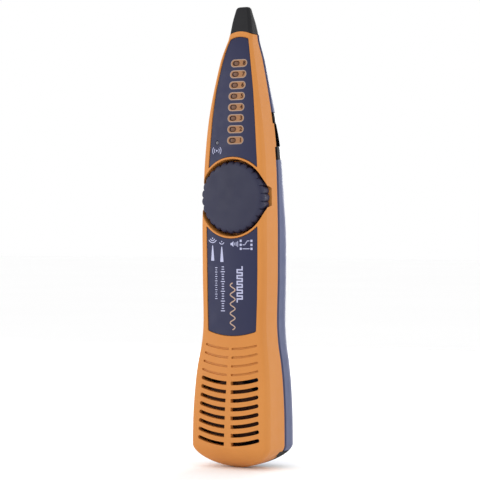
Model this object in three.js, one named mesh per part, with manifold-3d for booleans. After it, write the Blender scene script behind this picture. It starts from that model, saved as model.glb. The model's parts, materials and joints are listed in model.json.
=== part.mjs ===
// Handheld tone probe for tracing network cables: a two-shell case with a pull-off tip, a strength
// display, a thumb-wheel mode switch, a loudspeaker, a 9 V battery and sockets for a patch lead and
// an earphone. Millimetres, +Z up. The drawing stands on its rounded base, faces -Y, and is laid out
// around the seam plane between the shells (y = 0). The whole group is then centred over its base.
import * as THREE from 'three';
import { mergeVertices } from 'three/addons/utils/BufferGeometryUtils.js';
import Module from 'manifold-3d';

const wasm = await Module();
wasm.setup();

// ---- Driving dimensions -------------------------------------------------------------------------

const LENGTH = 247; // base to tip
const NOSE_Z = 232.6; // where the shells end and the tip begins
const GAP = 0.3; // clearance between neighbouring pieces
const SEAM = 0.15; // half the gap between the two shells
const WALL = 2.6; // front wall, under the label pockets
const SKIN = 2; // side and rear walls
const NOSE_WALL = 1.2; // side and rear walls at the nose

// Half width of the case, and depth of its front edges and of its flat back, against height.
const HALF_WIDTH = profile([
  [12, 23.95], [25, 23.85], [36, 23.45], [47, 22.75], [57, 21.6], [67, 20], [78, 19.3], [105, 19.8], [127, 19.8],
  [143, 19.5], [159, 19], [175, 17.75], [186, 16.4], [202, 13.7], [218, 10.5], [233, 7],
]);
const FRONT_DEPTH = profile([
  [12, 18.8], [31, 18.4], [41, 17.8], [52, 17.1], [63, 15.9], [74, 15.3], [100, 15.1], [130, 15.4],
  [159, 14.5], [186, 13.9], [197, 13.2], [208, 12], [218, 10.6], [226, 8.8], [233, 6.6],
]);
const REAR_DEPTH = profile([
  [12, 15.5], [118, 15.5], [143, 13.6], [159, 12.2], [170, 11.7], [181, 10.5], [191, 9.4],
  [202, 7.4], [218, 4.9], [233, 3.2],
]);
const CROWN = profile([[12, 1.4], [70, 1.3], [122, 1.6], [165, 1.4], [190, 0.9], [233, 0.4]]);
const FRONT_RADIUS = profile([[12, 3.6], [150, 3.2], [200, 2.5], [233, 1.8]]);
const REAR_RADIUS = profile([[12, 9.1], [143, 8.9], [190, 8.1], [202, 6.7], [218, 4.1], [233, 2.4]]);

// The base is a dome: below its height the section shrinks as a superellipse about its lowest point.
const DOME_HEIGHT = 12;
const DOME_POWER = 1.7;
const DOME_CENTRE_Y = -6.7;
const DOME_PAD = 0.12; // scale of the small flat that the dome ends in

const KNOB_Z = 144.4;
const KNOB_RADIUS = 19.42; // over its teeth
const KNOB_TEETH = 27;
const TOOTH_DEPTH = 0.9;
const RECESS_FLOOR_Y = -6.5;
const RECESS_RADIUS = 20.9; // at the surface
const RECESS_EDGE_Y = -15.4;
const RECESS_FLOOR_RADIUS = 20;
const RECESS_FLOOR_THICKNESS = 2.2;
const SHAFT_RADIUS = 3;
const SHAFT_TOP_Y = -13.3;
const DETENT_RADIUS = 14;

const LABEL_RECESS = 0.5; // label face below the orange surface
const LABEL_THICKNESS = 0.9;
const LABEL_ARC = 21.9; // edge of both labels around the knob
const UPPER_LABEL_TOP = 230;
const LOWER_LABEL_END = 70;
const LOWER_LABEL_CORNER = 72.5;

const LED_COUNT = 8;
const LED_PITCH = 5.9;
const LED_FIRST_Z = 174.9;
const LED_X = -0.6; // of the light sources on the board
const WINDOW_X = 0.1;
const WINDOW_WIDTH = 3.1;
const WINDOW_HEIGHT = 2.3;
const SYNC_X = -9.6;
const SYNC_Z = 173.8;

const BOARD_FRONT_Y = -2.6;
const BOARD_REAR_Y = -1;
const BOARD_BOTTOM = 84;
const BOARD_TOP = 218;

const GRILLE_ROWS = 8;
const GRILLE_TOP_Z = 45.1;
const GRILLE_PITCH = 4.74;
const GRILLE_ARC = 58;
const SLOT_THICKNESS = 1.7;
const GROOVE_ROWS = 4;
const GROOVE_TOP_Z = 63.3;
const GROOVE_PITCH = 4.6;
const GROOVE_THICKNESS = 0.9;
const GROOVE_DEPTH = 0.6;

const SPEAKER_Z = 30;
const SPEAKER_RADIUS = 17.6;

const BATTERY_WIDTH = 26.5;
const BATTERY_DEPTH = 17.5;
const BATTERY_HEIGHT = 46.4; // without its snaps
const BATTERY_BOTTOM = 21;
const BATTERY_REAR_Y = 12.3;
const SNAP_X = 6.35; // of the battery's two studs
const STUD_RADIUS = 2.9;
const SOCKET_RADIUS = 3.9;
const RIB_LOW = 76.6; // the rib above the battery bay
const RIB_HIGH = 78;
const DOOR_HALF_WIDTH = 13.9;
const DOOR_BOTTOM = 18;
const DOOR_TOP = 84;
const DOOR_THICKNESS = 1.9;
const GRIP_GROOVES = 5;
const GRIP_PITCH = 2.2;

const JACK_Z = 178;
const JACK_MOUTH_WIDTH = 11.9;
const JACK_MOUTH_NEAR_Y = 1.3;
const JACK_MOUTH_FAR_Y = 7.7;
const JACK_STOP_X = 2.8; // bottom of the mouth
const JACK_BODY_HEIGHT = 16;
const JACK_FRONT_Y = -3.2;
const CONTACTS = 8;
const CONTACT_PITCH = 1.02;
const TAB_REACH = 0.85; // how far the front shell's tab laps past the seam plane
const TAB_LOW = 171.6;
const TAB_HIGH = 184.2;
const BEZEL_BOTTOM = 165;
const BEZEL_TOP = 190;
const BEZEL_INNER_X = 8;
const BEZEL_THICKNESS = 1.5;

const PHONE_X = 14;
const PHONE_Y = 5.4;
const PHONE_SEAT = 12; // underside of the earphone socket's body
const PHONE_TOP = 20.4;
const PHONE_NOSE = 2.8; // radius of the socket's round mouth
const PHONE_BORE = 1.8;
const PHONE_STOP_Z = 18;
const COVER_TOP = 8.7;
const COVER_LEFT = 9.5;
const COVER_REAR_Y = 9.6;
const COVER_THICKNESS = 2;

const SCREWS = [[-13.4, 94], [13.4, 94], [-12.4, 159], [12.4, 159]]; // x, z through the rear shell
const SCREW_HEAD = 2.6;
const SCREW_SHANK = 1.3;
const SCREW_HEAD_Y = 4; // seat of a case screw's head
const FRONT_BOSS_RADIUS = 3;
const LOWER_BOSS_FRONT_Y = -13.5;
const REAR_BOSS_RADIUS = 3.9;
const BOARD_SCREWS = [[0, 100], [3, 201.5]];
const BOARD_SCREW_SHANK = 0.9;
const BOARD_SCREW_END_Y = -8;
const BOARD_BOSS_RADIUS = 2.2;
const KNOB_SCREW_SHANK = 0.9;

const TIP_Y = -2.3; // axis of the pickup pin
const PIN_RADIUS = 1.3;
const PIN_FOOT = 219.6;
const PIN_TOP = 241.4;
const HOLDER_LOW = 221.4;
const HOLDER_HIGH = 227.8;

// ---- Maths helpers ------------------------------------------------------------------------------

// A smooth curve through (height, value) points that never overshoots them.
function profile(points) {
  const slopes = points.slice(1).map(([z, v], i) => (v - points[i][1]) / (z - points[i][0]));
  const tangents = points.map((_, i) => {
    const before = slopes[i - 1] ?? 0;
    const after = slopes[i] ?? 0;
    return before * after > 0 ? (2 * before * after) / (before + after) : 0;
  });
  return (z) => {
    const last = points.length - 1;
    if (z <= points[0][0]) return points[0][1];
    if (z >= points[last][0]) return points[last][1];
    const i = points.findIndex(([next]) => next > z) - 1;
    const width = points[i + 1][0] - points[i][0];
    const t = (z - points[i][0]) / width;
    const rise = t * t * (3 - 2 * t);
    const start = points[i][1] + (points[i + 1][1] - points[i][1]) * rise;
    return start + width * (t * (1 - t) ** 2 * tangents[i] - t * t * (1 - t) * tangents[i + 1]);
  };
}

function mix(a, b, t) {
  return a + (b - a) * t;
}

// Points of an arc from one angle to another, both ends included.
function arc(cx, cy, radius, from, to, steps) {
  return Array.from({ length: steps + 1 }, (_, i) => {
    const angle = mix(from, to, i / steps);
    return [cx + radius * Math.cos(angle), cy + radius * Math.sin(angle)];
  });
}

// ---- Solid helpers ------------------------------------------------------------------------------

// A closed geometry as a solid. Triangles are turned over if they face inwards.
function solidOf(geometry) {
  geometry.deleteAttribute('normal');
  geometry.deleteAttribute('uv');
  const merged = mergeVertices(geometry, 1e-4);
  const vertProperties = new Float32Array(merged.attributes.position.array);
  const triVerts = new Uint32Array(merged.index.array);
  const solid = new wasm.Manifold(new wasm.Mesh({ numProp: 3, vertProperties, triVerts }));
  if (solid.volume() > 0) return solid;
  return new wasm.Manifold(new wasm.Mesh({ numProp: 3, vertProperties, triVerts: triVerts.reverse() }));
}

function geometryOf(solid) {
  const mesh = solid.getMesh();
  const shared = new THREE.BufferGeometry();
  shared.setAttribute('position', new THREE.BufferAttribute(mesh.vertProperties, 3));
  shared.setIndex(new THREE.BufferAttribute(mesh.triVerts, 1));
  const faceted = shared.toNonIndexed();
  faceted.computeVertexNormals();
  return faceted;
}

function box(x0, x1, y0, y1, z0, z1) {
  const geometry = new THREE.BoxGeometry(x1 - x0, y1 - y0, z1 - z0);
  return solidOf(geometry.translate((x0 + x1) / 2, (y0 + y1) / 2, (z0 + z1) / 2));
}

// A round rod along Y, at x and z, from y0 to y1.
function rodY(x, z, radius, y0, y1, sides = 24, endRadius = radius) {
  const geometry = new THREE.CylinderGeometry(endRadius, radius, y1 - y0, sides);
  return solidOf(geometry.translate(x, (y0 + y1) / 2, z));
}

function rodZ(x, y, radius, z0, z1, sides = 20) {
  const geometry = new THREE.CylinderGeometry(radius, radius, z1 - z0, sides).rotateX(Math.PI / 2);
  return solidOf(geometry.translate(x, y, (z0 + z1) / 2));
}

// An outline in X and Z, pushed along Y from y0 to y1.
function prism(outline, y0, y1) {
  const shape = new THREE.Shape(outline.map(([x, z]) => new THREE.Vector2(x, z)));
  const geometry = new THREE.ExtrudeGeometry(shape, { depth: y1 - y0, bevelEnabled: false });
  return solidOf(geometry.rotateX(Math.PI / 2).translate(0, y1, 0));
}

// A solid through closed rings of equal length, with a flat fan at each end.
function loft(rings) {
  const count = rings[0].length;
  const positions = rings.flat(2);
  const index = [];
  for (let r = 0; r < rings.length - 1; r += 1) {
    for (let i = 0; i < count; i += 1) {
      const a = r * count + i;
      const b = r * count + ((i + 1) % count);
      index.push(a, b, b + count, a, b + count, a + count);
    }
  }
  const top = (rings.length - 1) * count;
  for (let i = 1; i < count - 1; i += 1) {
    index.push(0, i + 1, i);
    index.push(top, top + i, top + i + 1);
  }
  const geometry = new THREE.BufferGeometry();
  geometry.setAttribute('position', new THREE.Float32BufferAttribute(positions, 3));
  geometry.setIndex(index);
  return solidOf(geometry);
}

// A solid of revolution about a Y axis through x and z. The profile is [radius, y] and closes on itself.
function turnedY(x, z, outline, sides = 40) {
  const points = [...outline, outline[0]].map(([radius, y]) => new THREE.Vector2(radius, y));
  const geometry = new THREE.LatheGeometry(points, sides);
  return solidOf(geometry.translate(x, 0, z));
}

function union(solids) {
  return solids.reduce((sum, solid) => sum.add(solid));
}

// ---- The case's outer form ----------------------------------------------------------------------

// How finely a case solid is divided: steps around a corner and across the crown, and its heights.
const FINE = {
  corner: 4,
  crown: 4,
  heights: [
    0, 0.5, 1.4, 2.8, 4.6, 6.6, 9, 12, 25, 36, 47, 57, 67, 78, 105, 127, 143, 159, 175, 186, 194,
    202, 210, 218, 226,
  ],
};
const COARSE = {
  corner: 2,
  crown: 2,
  heights: [3.4, 5.4, 8, 12, 36, 57, 67, 78, 105, 127, 143, 159, 175, 186, 202, 218, 226],
};

// How much the dome shrinks the section at a height.
function domeScale(z, bottomInset) {
  const height = DOME_HEIGHT - bottomInset;
  const below = (DOME_HEIGHT - z) / height;
  if (below <= 0) return 1;
  const power = Math.min(1, below) ** DOME_POWER;
  return Math.max(DOME_PAD, (1 - power) ** (1 / DOME_POWER));
}

// One ring of the case at a height, moved inwards by the insets.
function caseRing(z, inset, grid) {
  const w = HALF_WIDTH(z) - inset.side(z);
  const front = FRONT_DEPTH(z) - inset.front;
  const rear = REAR_DEPTH(z) - inset.rear(z);
  const frontRadius = Math.max(0.8, FRONT_RADIUS(z) - inset.front);
  const rearRadius = Math.max(0.8, REAR_RADIUS(z) - inset.rear(z));
  const half = Math.PI / 2;
  const ring = arc(w - frontRadius, frontRadius - front, frontRadius, 0, -half, grid.corner);
  const flat = w - frontRadius;
  for (let i = 1; i < grid.crown; i += 1) {
    const x = mix(flat, -flat, i / grid.crown);
    ring.push([x, -front - CROWN(z) * (1 - (x / flat) ** 2)]);
  }
  ring.push(...arc(-flat, frontRadius - front, frontRadius, -half, -2 * half, grid.corner));
  ring.push(...arc(rearRadius - w, rear - rearRadius, rearRadius, 2 * half, half, grid.corner));
  ring.push(...arc(w - rearRadius, rear - rearRadius, rearRadius, half, 0, grid.corner));
  const scale = domeScale(z, inset.bottom);
  const points = ring.map(([x, y]) => [x * scale, mix(DOME_CENTRE_Y, y, scale), z]);
  return points.reverse();
}

function evenInset(amount) {
  return { side: () => amount, front: amount, rear: () => amount, bottom: amount };
}

function caseSolid(inset, grid = FINE, top = NOSE_Z) {
  const inside = grid.heights.filter((z) => z > inset.bottom && z < top);
  return loft([inset.bottom, ...inside, top].map((z) => caseRing(z, inset, grid)));
}

const thinning = profile([[190, SKIN], [226, NOSE_WALL]]);
const cavityInset = { side: thinning, front: WALL, rear: thinning, bottom: WALL };
const outer = caseSolid(evenInset(0));
const cavity = caseSolid(cavityInset, COARSE, NOSE_Z + 5);
const contents = caseSolid({
  side: (z) => thinning(z) + GAP,
  front: WALL + GAP,
  rear: (z) => thinning(z) + GAP,
  bottom: WALL + GAP,
}, COARSE);
const frontHalf = box(-40, 40, -40, -SEAM, -5, LENGTH + 5);
const rearHalf = box(-40, 40, SEAM, 40, -5, LENGTH + 5);

// How far a case screw at this height reaches forwards.
function screwEndY(z) {
  return z > KNOB_Z ? -5 : -11;
}

function frontDepthAt(x, z) {
  const flat = HALF_WIDTH(z) - FRONT_RADIUS(z);
  return FRONT_DEPTH(z) + CROWN(z) * (1 - (x / flat) ** 2);
}

// ---- Labels -------------------------------------------------------------------------------------

// Right edges as height and half width, from the top down. Each meets the arc around the knob.
const UPPER_LABEL_SIDE = [[226, 6.4], [216, 8.7], [202, 11.2], [186, 13], [175, 13.8], [162, 14.8]];
const LOWER_LABEL_SIDE = [[127, 15.5], [106, 15.35], [90, 15.1], [LOWER_LABEL_CORNER, 14.6]];
const UPPER_LABEL_TOP_REACH = 4.6;
const LOWER_LABEL_END_REACH = 9;

function upperLabelOutline(grow) {
  const right = UPPER_LABEL_SIDE.map(([z, w]) => [w + grow, z]);
  const reach = right[right.length - 1][0];
  const swing = Math.acos(reach / (LABEL_ARC - grow));
  const bottom = arc(0, KNOB_Z, LABEL_ARC - grow, swing, Math.PI - swing, 10);
  const left = right.slice(0, -1).reverse().map(([x, z]) => [-x, z]);
  const corner = UPPER_LABEL_TOP_REACH + grow;
  const top = [[-corner, UPPER_LABEL_TOP + grow], [corner, UPPER_LABEL_TOP + grow]];
  return [...right.slice(0, -1), ...bottom, ...left, ...top];
}

function lowerLabelOutline(grow) {
  const right = LOWER_LABEL_SIDE.map(([z, w]) => [w + grow, z]);
  const reach = right[0][0];
  const swing = Math.acos(reach / (LABEL_ARC - grow));
  const top = arc(0, KNOB_Z, LABEL_ARC - grow, Math.PI + swing, 2 * Math.PI - swing, 10);
  const end = LOWER_LABEL_END - grow;
  const bottom = [[LOWER_LABEL_END_REACH, end + 0.9], [0, end], [-LOWER_LABEL_END_REACH, end + 0.9]];
  const left = right.slice(1).reverse().map(([x, z]) => [-x, z]);
  return [...top, ...right.slice(1), ...bottom, ...left];
}

function windowOutline(x, z, grow) {
  const radius = WINDOW_HEIGHT / 2 + grow;
  const reach = (WINDOW_WIDTH - WINDOW_HEIGHT) / 2;
  const half = Math.PI / 2;
  return [...arc(x + reach, z, radius, -half, half, 4), ...arc(x - reach, z, radius, half, 3 * half, 4)];
}

const labelFace = caseSolid(evenInset(LABEL_RECESS));
const labelBack = caseSolid(evenInset(LABEL_RECESS + LABEL_THICKNESS));
const pocketFloor = caseSolid(evenInset(LABEL_RECESS + LABEL_THICKNESS + GAP));
const ledHeights = Array.from({ length: LED_COUNT }, (_, i) => LED_FIRST_Z + LED_PITCH * i);

function windowCutters(grow) {
  const windows = ledHeights.map((z) => prism(windowOutline(WINDOW_X, z, grow), -25, -5));
  return [...windows, rodY(SYNC_X, SYNC_Z, 1.1 + grow, -25, -5, 14)];
}

function label(outline) {
  return labelFace.intersect(prism(outline, -30, -4)).subtract(labelBack);
}

function labelPocket(outline) {
  return prism(outline, -30, -4).subtract(pocketFloor);
}

function upperLabel() {
  return label(upperLabelOutline(0)).subtract(union(windowCutters(0.2)));
}

// ---- Front shell --------------------------------------------------------------------------------

// One half-row of the grille: a curved slot that rises away from the middle rib.
function slotOutline(side, z, from, to, thickness) {
  const half = thickness / 2;
  const centre = z + GRILLE_ARC;
  const start = Math.asin(from / GRILLE_ARC) - Math.PI / 2;
  const end = Math.asin((to - half) / GRILLE_ARC) - Math.PI / 2;
  const low = arc(0, centre, GRILLE_ARC + half, start, end, 3);
  const high = arc(0, centre, GRILLE_ARC - half, end, start, 3);
  const tip = low[low.length - 1].map((v, i) => (v + high[0][i]) / 2);
  const cap = arc(tip[0], tip[1], half, end, end + Math.PI, 4).slice(1, -1);
  return [...low, ...cap, ...high].map(([x, y]) => [side * x, y]);
}

function grilleSlots() {
  const cuts = [];
  for (let row = 0; row < GRILLE_ROWS; row += 1) {
    const t = row / (GRILLE_ROWS - 1);
    const z = GRILLE_TOP_Z - GRILLE_PITCH * row;
    for (const side of [-1, 1]) {
      const outline = slotOutline(side, z, mix(1.6, 2.4, t), mix(17.3, 18.7, t), SLOT_THICKNESS);
      cuts.push(prism(outline, -30, -10));
    }
  }
  return union(cuts);
}

function grilleGrooves() {
  const below = caseSolid(evenInset(GROOVE_DEPTH));
  const cuts = [];
  for (let row = 0; row < GROOVE_ROWS; row += 1) {
    const t = row / (GROOVE_ROWS - 1);
    const z = GROOVE_TOP_Z - GROOVE_PITCH * row;
    for (const side of [-1, 1]) {
      const outline = slotOutline(side, z, mix(1.2, 1.6, t), mix(15.7, 17.2, t), GROOVE_THICKNESS);
      cuts.push(prism(outline, -30, -10));
    }
  }
  return union(cuts).subtract(below);
}

const recessTaper = (RECESS_RADIUS - RECESS_FLOOR_RADIUS) / (RECESS_FLOOR_Y - RECESS_EDGE_Y);
const recessMouth = RECESS_RADIUS + recessTaper * (RECESS_EDGE_Y + 24);
const knobRecess = rodY(0, KNOB_Z, recessMouth, -24, RECESS_FLOOR_Y, 44, RECESS_FLOOR_RADIUS);
const recessBack = RECESS_FLOOR_Y + RECESS_FLOOR_THICKNESS;
const detentPocket = rodY(0, KNOB_Z - DETENT_RADIUS, 1.6, -8, -3.6, 14);

// A nick in the front shell's edge that leaves room for the dust cover's hinge.
const coverHingeNotch = box(19, 26, -1.2, 0, COVER_TOP - 2.1, COVER_TOP + 0.1);

// The side of the seam that the front shell keeps, with the tab that laps over the seam beside the
// patch-lead socket.
const frontSide = frontHalf.add(box(10, 40, -2, TAB_REACH, TAB_LOW, TAB_HIGH));

function tabRoom() {
  return box(9, 40, -2, TAB_REACH + GAP, TAB_LOW - GAP, TAB_HIGH + GAP);
}

function frontBosses() {
  const bosses = SCREWS.map(([x, z]) => (
    rodY(x, z, FRONT_BOSS_RADIUS, z > KNOB_Z ? recessBack - 0.5 : LOWER_BOSS_FRONT_Y, -SEAM, 12)));
  const supports = BOARD_SCREWS.map(([x, z]) => (
    rodY(x, z, BOARD_BOSS_RADIUS, 2 - frontDepthAt(x, z), BOARD_FRONT_Y - GAP, 10)));
  const detent = rodY(0, KNOB_Z - DETENT_RADIUS, 2.8, recessBack - 0.5, BOARD_FRONT_Y - GAP, 16);
  return union([...bosses, ...supports, detent]);
}

function frontHoles() {
  const caseHoles = SCREWS.map(([x, z]) => (
    rodY(x, z, SCREW_SHANK + GAP, screwEndY(z) - 0.5, 1, 12)));
  const boardHoles = BOARD_SCREWS.map(([x, z]) => (
    rodY(x, z, BOARD_SCREW_SHANK + GAP, BOARD_SCREW_END_Y - 0.5, 0, 12)));
  const shaftHole = rodY(0, KNOB_Z, SHAFT_RADIUS + GAP, -9, 0, 24);
  return union([...caseHoles, ...boardHoles, detentPocket, shaftHole]);
}

// The raised ring that holds the loudspeaker, left open where it would meet the rounded base.
function speakerRing() {
  const near = SPEAKER_RADIUS + 0.4;
  const far = near + 1;
  const ring = turnedY(0, SPEAKER_Z, [[near, -17], [far, -17], [far, -12.4], [near, -12.4]], 24);
  return ring.subtract(box(-30, 30, -30, 0, 0, 13.4));
}

function frontShell() {
  const well = rodY(0, KNOB_Z, RECESS_RADIUS + 1.6, -20, recessBack, 32);
  const hollow = cavity.subtract(union([well, frontBosses(), speakerRing()]));
  const cuts = union([
    knobRecess,
    labelPocket(upperLabelOutline(0.25)),
    labelPocket(lowerLabelOutline(0.25)),
    ...windowCutters(0.3),
    grilleSlots(),
    grilleGrooves(),
    frontHoles(),
    coverHingeNotch,
  ]);
  return outer.subtract(hollow).subtract(cuts).intersect(frontSide);
}

// ---- Rear shell, battery door, socket bezel and dust cover --------------------------------------

function rearBosses() {
  return union(SCREWS.map(([x, z]) => rodY(x, z, REAR_BOSS_RADIUS, -SEAM, 20, 14)));
}

function rearScrewHoles() {
  const heads = SCREWS.map(([x, z]) => rodY(x, z, SCREW_HEAD + GAP, SCREW_HEAD_Y, 20, 14));
  const shanks = SCREWS.map(([x, z]) => rodY(x, z, SCREW_SHANK + 0.4, -1, 20, 10));
  return union([...heads, ...shanks]);
}

const behindSkin = caseSolid(evenInset(2.2)); // keeps the patch-lead socket clear of the case

// The region of the case skin that the socket bezel fills.
function bezelZone(grow) {
  const low = BEZEL_BOTTOM - grow;
  const high = BEZEL_TOP + grow;
  return box(BEZEL_INNER_X - grow, 30, -SEAM, 30, low, high);
}

function coverZone(grow) {
  return box(COVER_LEFT - grow, 30, -SEAM, COVER_REAR_Y + grow, -5, COVER_TOP + grow);
}

function rearShell() {
  const rib = box(-30, 30, 1, 20, RIB_LOW, RIB_HIGH);
  const leadGap = box(-6, 6, 0, 6, RIB_LOW - 1, RIB_HIGH + 1);
  const socketBlock = box(COVER_LEFT - 3, 30, -SEAM, COVER_REAR_Y + 2, -5, PHONE_SEAT - GAP);
  const hollow = cavity.subtract(union([rearBosses(), rib.subtract(leadGap), socketBlock]));
  const coverRecess = coverZone(GAP).subtract(caseSolid(evenInset(COVER_THICKNESS + GAP)));
  const batteryOpening = box(-DOOR_HALF_WIDTH - GAP, DOOR_HALF_WIDTH + GAP, 10, 20, DOOR_BOTTOM, DOOR_TOP);
  const fingerNotch = box(-4.5, 4.5, REAR_DEPTH(DOOR_TOP) - 0.8, 20, DOOR_TOP - 1, DOOR_TOP + 5);
  const phoneHole = rodZ(PHONE_X, PHONE_Y, PHONE_NOSE + GAP, -1, 14);
  const cuts = union([
    rearScrewHoles(),
    batteryOpening,
    bezelZone(GAP),
    coverRecess,
    phoneHole,
    fingerNotch,
    tabRoom(),
  ]);
  return outer.subtract(hollow).subtract(cuts).intersect(rearHalf);
}

// A flat door with two tongues that hook behind the shell below it, and a thumb grip of five grooves.
function batteryDoor() {
  const rear = REAR_DEPTH(DOOR_BOTTOM);
  const inner = rear - DOOR_THICKNESS;
  const side = DOOR_HALF_WIDTH;
  const plate = box(-side, side, inner, rear, DOOR_BOTTOM + GAP, DOOR_TOP - GAP);
  const tongueTop = DOOR_BOTTOM + 1.8;
  const tongues = [-8, 8].map((x) => union([
    box(x - 2.5, x + 2.5, inner - 1.3, inner + 0.2, DOOR_BOTTOM + GAP, tongueTop),
    box(x - 2.5, x + 2.5, inner - 1.3, inner - 0.45, DOOR_BOTTOM - 1.4, tongueTop),
  ]));
  const grips = Array.from({ length: GRIP_GROOVES }, (_, i) => {
    const z = DOOR_TOP - 6 - GRIP_PITCH * i;
    return box(-7, 7, rear - 0.5, rear + 1, z - 0.5, z + 0.5);
  });
  return union([plate, ...tongues]).subtract(union(grips));
}

function jackMouth(grow) {
  const half = JACK_MOUTH_WIDTH / 2 + grow;
  const near = JACK_MOUTH_NEAR_Y - grow;
  const far = JACK_MOUTH_FAR_Y + grow;
  return box(JACK_STOP_X, 30, near, far, JACK_Z - half, JACK_Z + half);
}

function jackBezel() {
  const skin = outer.subtract(caseSolid(evenInset(BEZEL_THICKNESS)));
  const panel = skin.intersect(bezelZone(0)).intersect(rearHalf);
  return panel.subtract(tabRoom()).subtract(jackMouth(0.1));
}

// The socket's plastic body. A trough behind the contacts leaves the plug's stop face clear.
function modularJack() {
  const half = JACK_BODY_HEIGHT / 2;
  const far = JACK_MOUTH_FAR_Y + 0.6;
  const body = box(JACK_STOP_X - 1.2, 13.2, JACK_FRONT_Y, far, JACK_Z - half, JACK_Z + half);
  const troughY = JACK_MOUTH_FAR_Y - 1.8;
  const trough = box(JACK_STOP_X - 0.4, 6, troughY, JACK_MOUTH_FAR_Y, JACK_Z - 4.8, JACK_Z + 4.8);
  return body.intersect(behindSkin).subtract(jackMouth(-0.05)).subtract(trough);
}

// Eight sprung contacts on one carrier, at the back of the socket's mouth.
function jackContacts() {
  const far = JACK_MOUTH_FAR_Y;
  const carrier = box(3.2, 4.4, far - 1.5, far - 0.4, JACK_Z - 4.4, JACK_Z + 4.4);
  const wires = Array.from({ length: CONTACTS }, (_, i) => {
    const z = JACK_Z + CONTACT_PITCH * (i - (CONTACTS - 1) / 2);
    return box(4.2, 9.6, far - 1.3, far - 0.9, z - 0.22, z + 0.22);
  });
  return union([carrier, ...wires]);
}

// Pressed steel shield, folded around the socket's two ends and inner back.
function jackShield() {
  const inner = JACK_BODY_HEIGHT / 2 + GAP;
  const outside = box(0.9, 12.4, JACK_FRONT_Y, 5.6, JACK_Z - inner - 0.4, JACK_Z + inner + 0.4);
  const inside = box(1.3, 20, JACK_FRONT_Y - 1, 9, JACK_Z - inner, JACK_Z + inner);
  return outside.subtract(inside).intersect(behindSkin);
}

function dustCover() {
  const skin = outer.subtract(caseSolid(evenInset(COVER_THICKNESS)));
  return skin.intersect(coverZone(0)).intersect(rearHalf);
}

function phoneJack() {
  const body = box(PHONE_X - 4.4, PHONE_X + 4.6, PHONE_Y - 3.8, PHONE_Y + 3.8, PHONE_SEAT, PHONE_TOP);
  const aboveCover = caseSolid(evenInset(COVER_THICKNESS + 2 * GAP));
  const nose = rodZ(PHONE_X, PHONE_Y, PHONE_NOSE, 3, PHONE_SEAT + 0.5).intersect(aboveCover);
  return body.intersect(contents).add(nose).subtract(rodZ(PHONE_X, PHONE_Y, PHONE_BORE, 0, PHONE_STOP_Z, 16));
}

// ---- Tip ----------------------------------------------------------------------------------------

// Rounded rectangle ring for the tip: half width, front and rear faces, corner radius.
function tipRing(z, w, front, rear, radius) {
  const half = Math.PI / 2;
  const corner = (x, y, from) => arc(x, y, radius, from, from + half, 3);
  return [
    ...corner(w - radius, rear - radius, 0),
    ...corner(radius - w, rear - radius, half),
    ...corner(radius - w, front + radius, 2 * half),
    ...corner(w - radius, front + radius, 3 * half),
  ].map(([x, y]) => [x, y, z]);
}

function probeTip() {
  const cap = loft([
    tipRing(NOSE_Z + GAP, 6.9, -6.8, 2.6, 2),
    tipRing(238, 6, -6.1, 1.4, 1.9),
    tipRing(243.5, 4.8, -5.1, -0.1, 1.7),
    tipRing(245.8, 4.2, -4.7, -0.4, 1.6),
    tipRing(LENGTH, 3.2, -4, -1, 1.2),
  ]);
  const neck = loft([
    tipRing(228.6, 4.6, -4.1, 0.8, 1.2),
    tipRing(NOSE_Z + 1, 4.6, -3.6, 0.8, 1.2),
  ]);
  return cap.add(neck).subtract(rodZ(0, TIP_Y, PIN_RADIUS + 0.35, 220, PIN_TOP + 1.2, 16));
}

// A plug that fills the nose below the tip's neck and grips the pickup pin.
function pinHolder() {
  const slab = box(-20, 20, -20, 20, HOLDER_LOW, HOLDER_HIGH);
  return contents.intersect(slab).subtract(rodZ(0, TIP_Y, PIN_RADIUS + GAP, 215, 235, 16));
}

// A brass leaf from the board up to the foot of the pickup pin.
function tipContact() {
  const top = PIN_FOOT - GAP;
  const leaf = box(0.9, 2.7, -3.5, BOARD_FRONT_Y - GAP, 208.5, top - 0.1);
  const foot = box(-1.3, 2.7, -3.5, -1, top - 0.4, top);
  return leaf.add(foot);
}

// ---- Knob and switch ----------------------------------------------------------------------------

// Outline of the knob at one depth: rounded teeth of the given height on a circle.
function knobRing(y, radius, tooth) {
  const steps = KNOB_TEETH * 2;
  return Array.from({ length: steps }, (_, i) => {
    const angle = (2 * Math.PI * i) / steps;
    const bump = Math.sqrt(Math.abs(Math.cos((KNOB_TEETH * angle) / 2)));
    const r = radius - tooth * (1 - bump);
    return [r * Math.cos(angle), y, KNOB_Z + r * Math.sin(angle)];
  });
}

function rotaryKnob() {
  const body = loft([
    knobRing(-6.9, KNOB_RADIUS - 0.9, TOOTH_DEPTH),
    knobRing(-14.3, KNOB_RADIUS, TOOTH_DEPTH),
    knobRing(-15.6, KNOB_RADIUS - 0.8, TOOTH_DEPTH * 0.6),
    knobRing(-16.1, KNOB_RADIUS - 1.7, 0),
  ]);
  const hollow = turnedY(0, KNOB_Z, [[5, -6], [12, -6], [12, -14], [5, -14]], 24);
  const bore = rodY(0, KNOB_Z, SHAFT_RADIUS + 0.05, SHAFT_TOP_Y - 0.3, -5, 24);
  const groove = turnedY(0, KNOB_Z, [
    [DETENT_RADIUS - 1.4, -6],
    [DETENT_RADIUS + 1.4, -6],
    [DETENT_RADIUS + 0.7, -8.2],
    [DETENT_RADIUS - 0.7, -8.2],
  ], 24);
  return body.subtract(hollow).subtract(bore).subtract(groove);
}

// The shaft that carries the knob, with the wiper disc of the switch at its foot.
function switchRotor() {
  const foot = -3.4;
  const shaft = rodY(0, KNOB_Z, SHAFT_RADIUS, SHAFT_TOP_Y, foot, 24);
  const disc = rodY(0, KNOB_Z, 8, foot - 0.6, foot, 24);
  return shaft.add(disc).subtract(rodY(0, KNOB_Z, KNOB_SCREW_SHANK + 0.2, -11.5, 0, 12));
}

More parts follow.
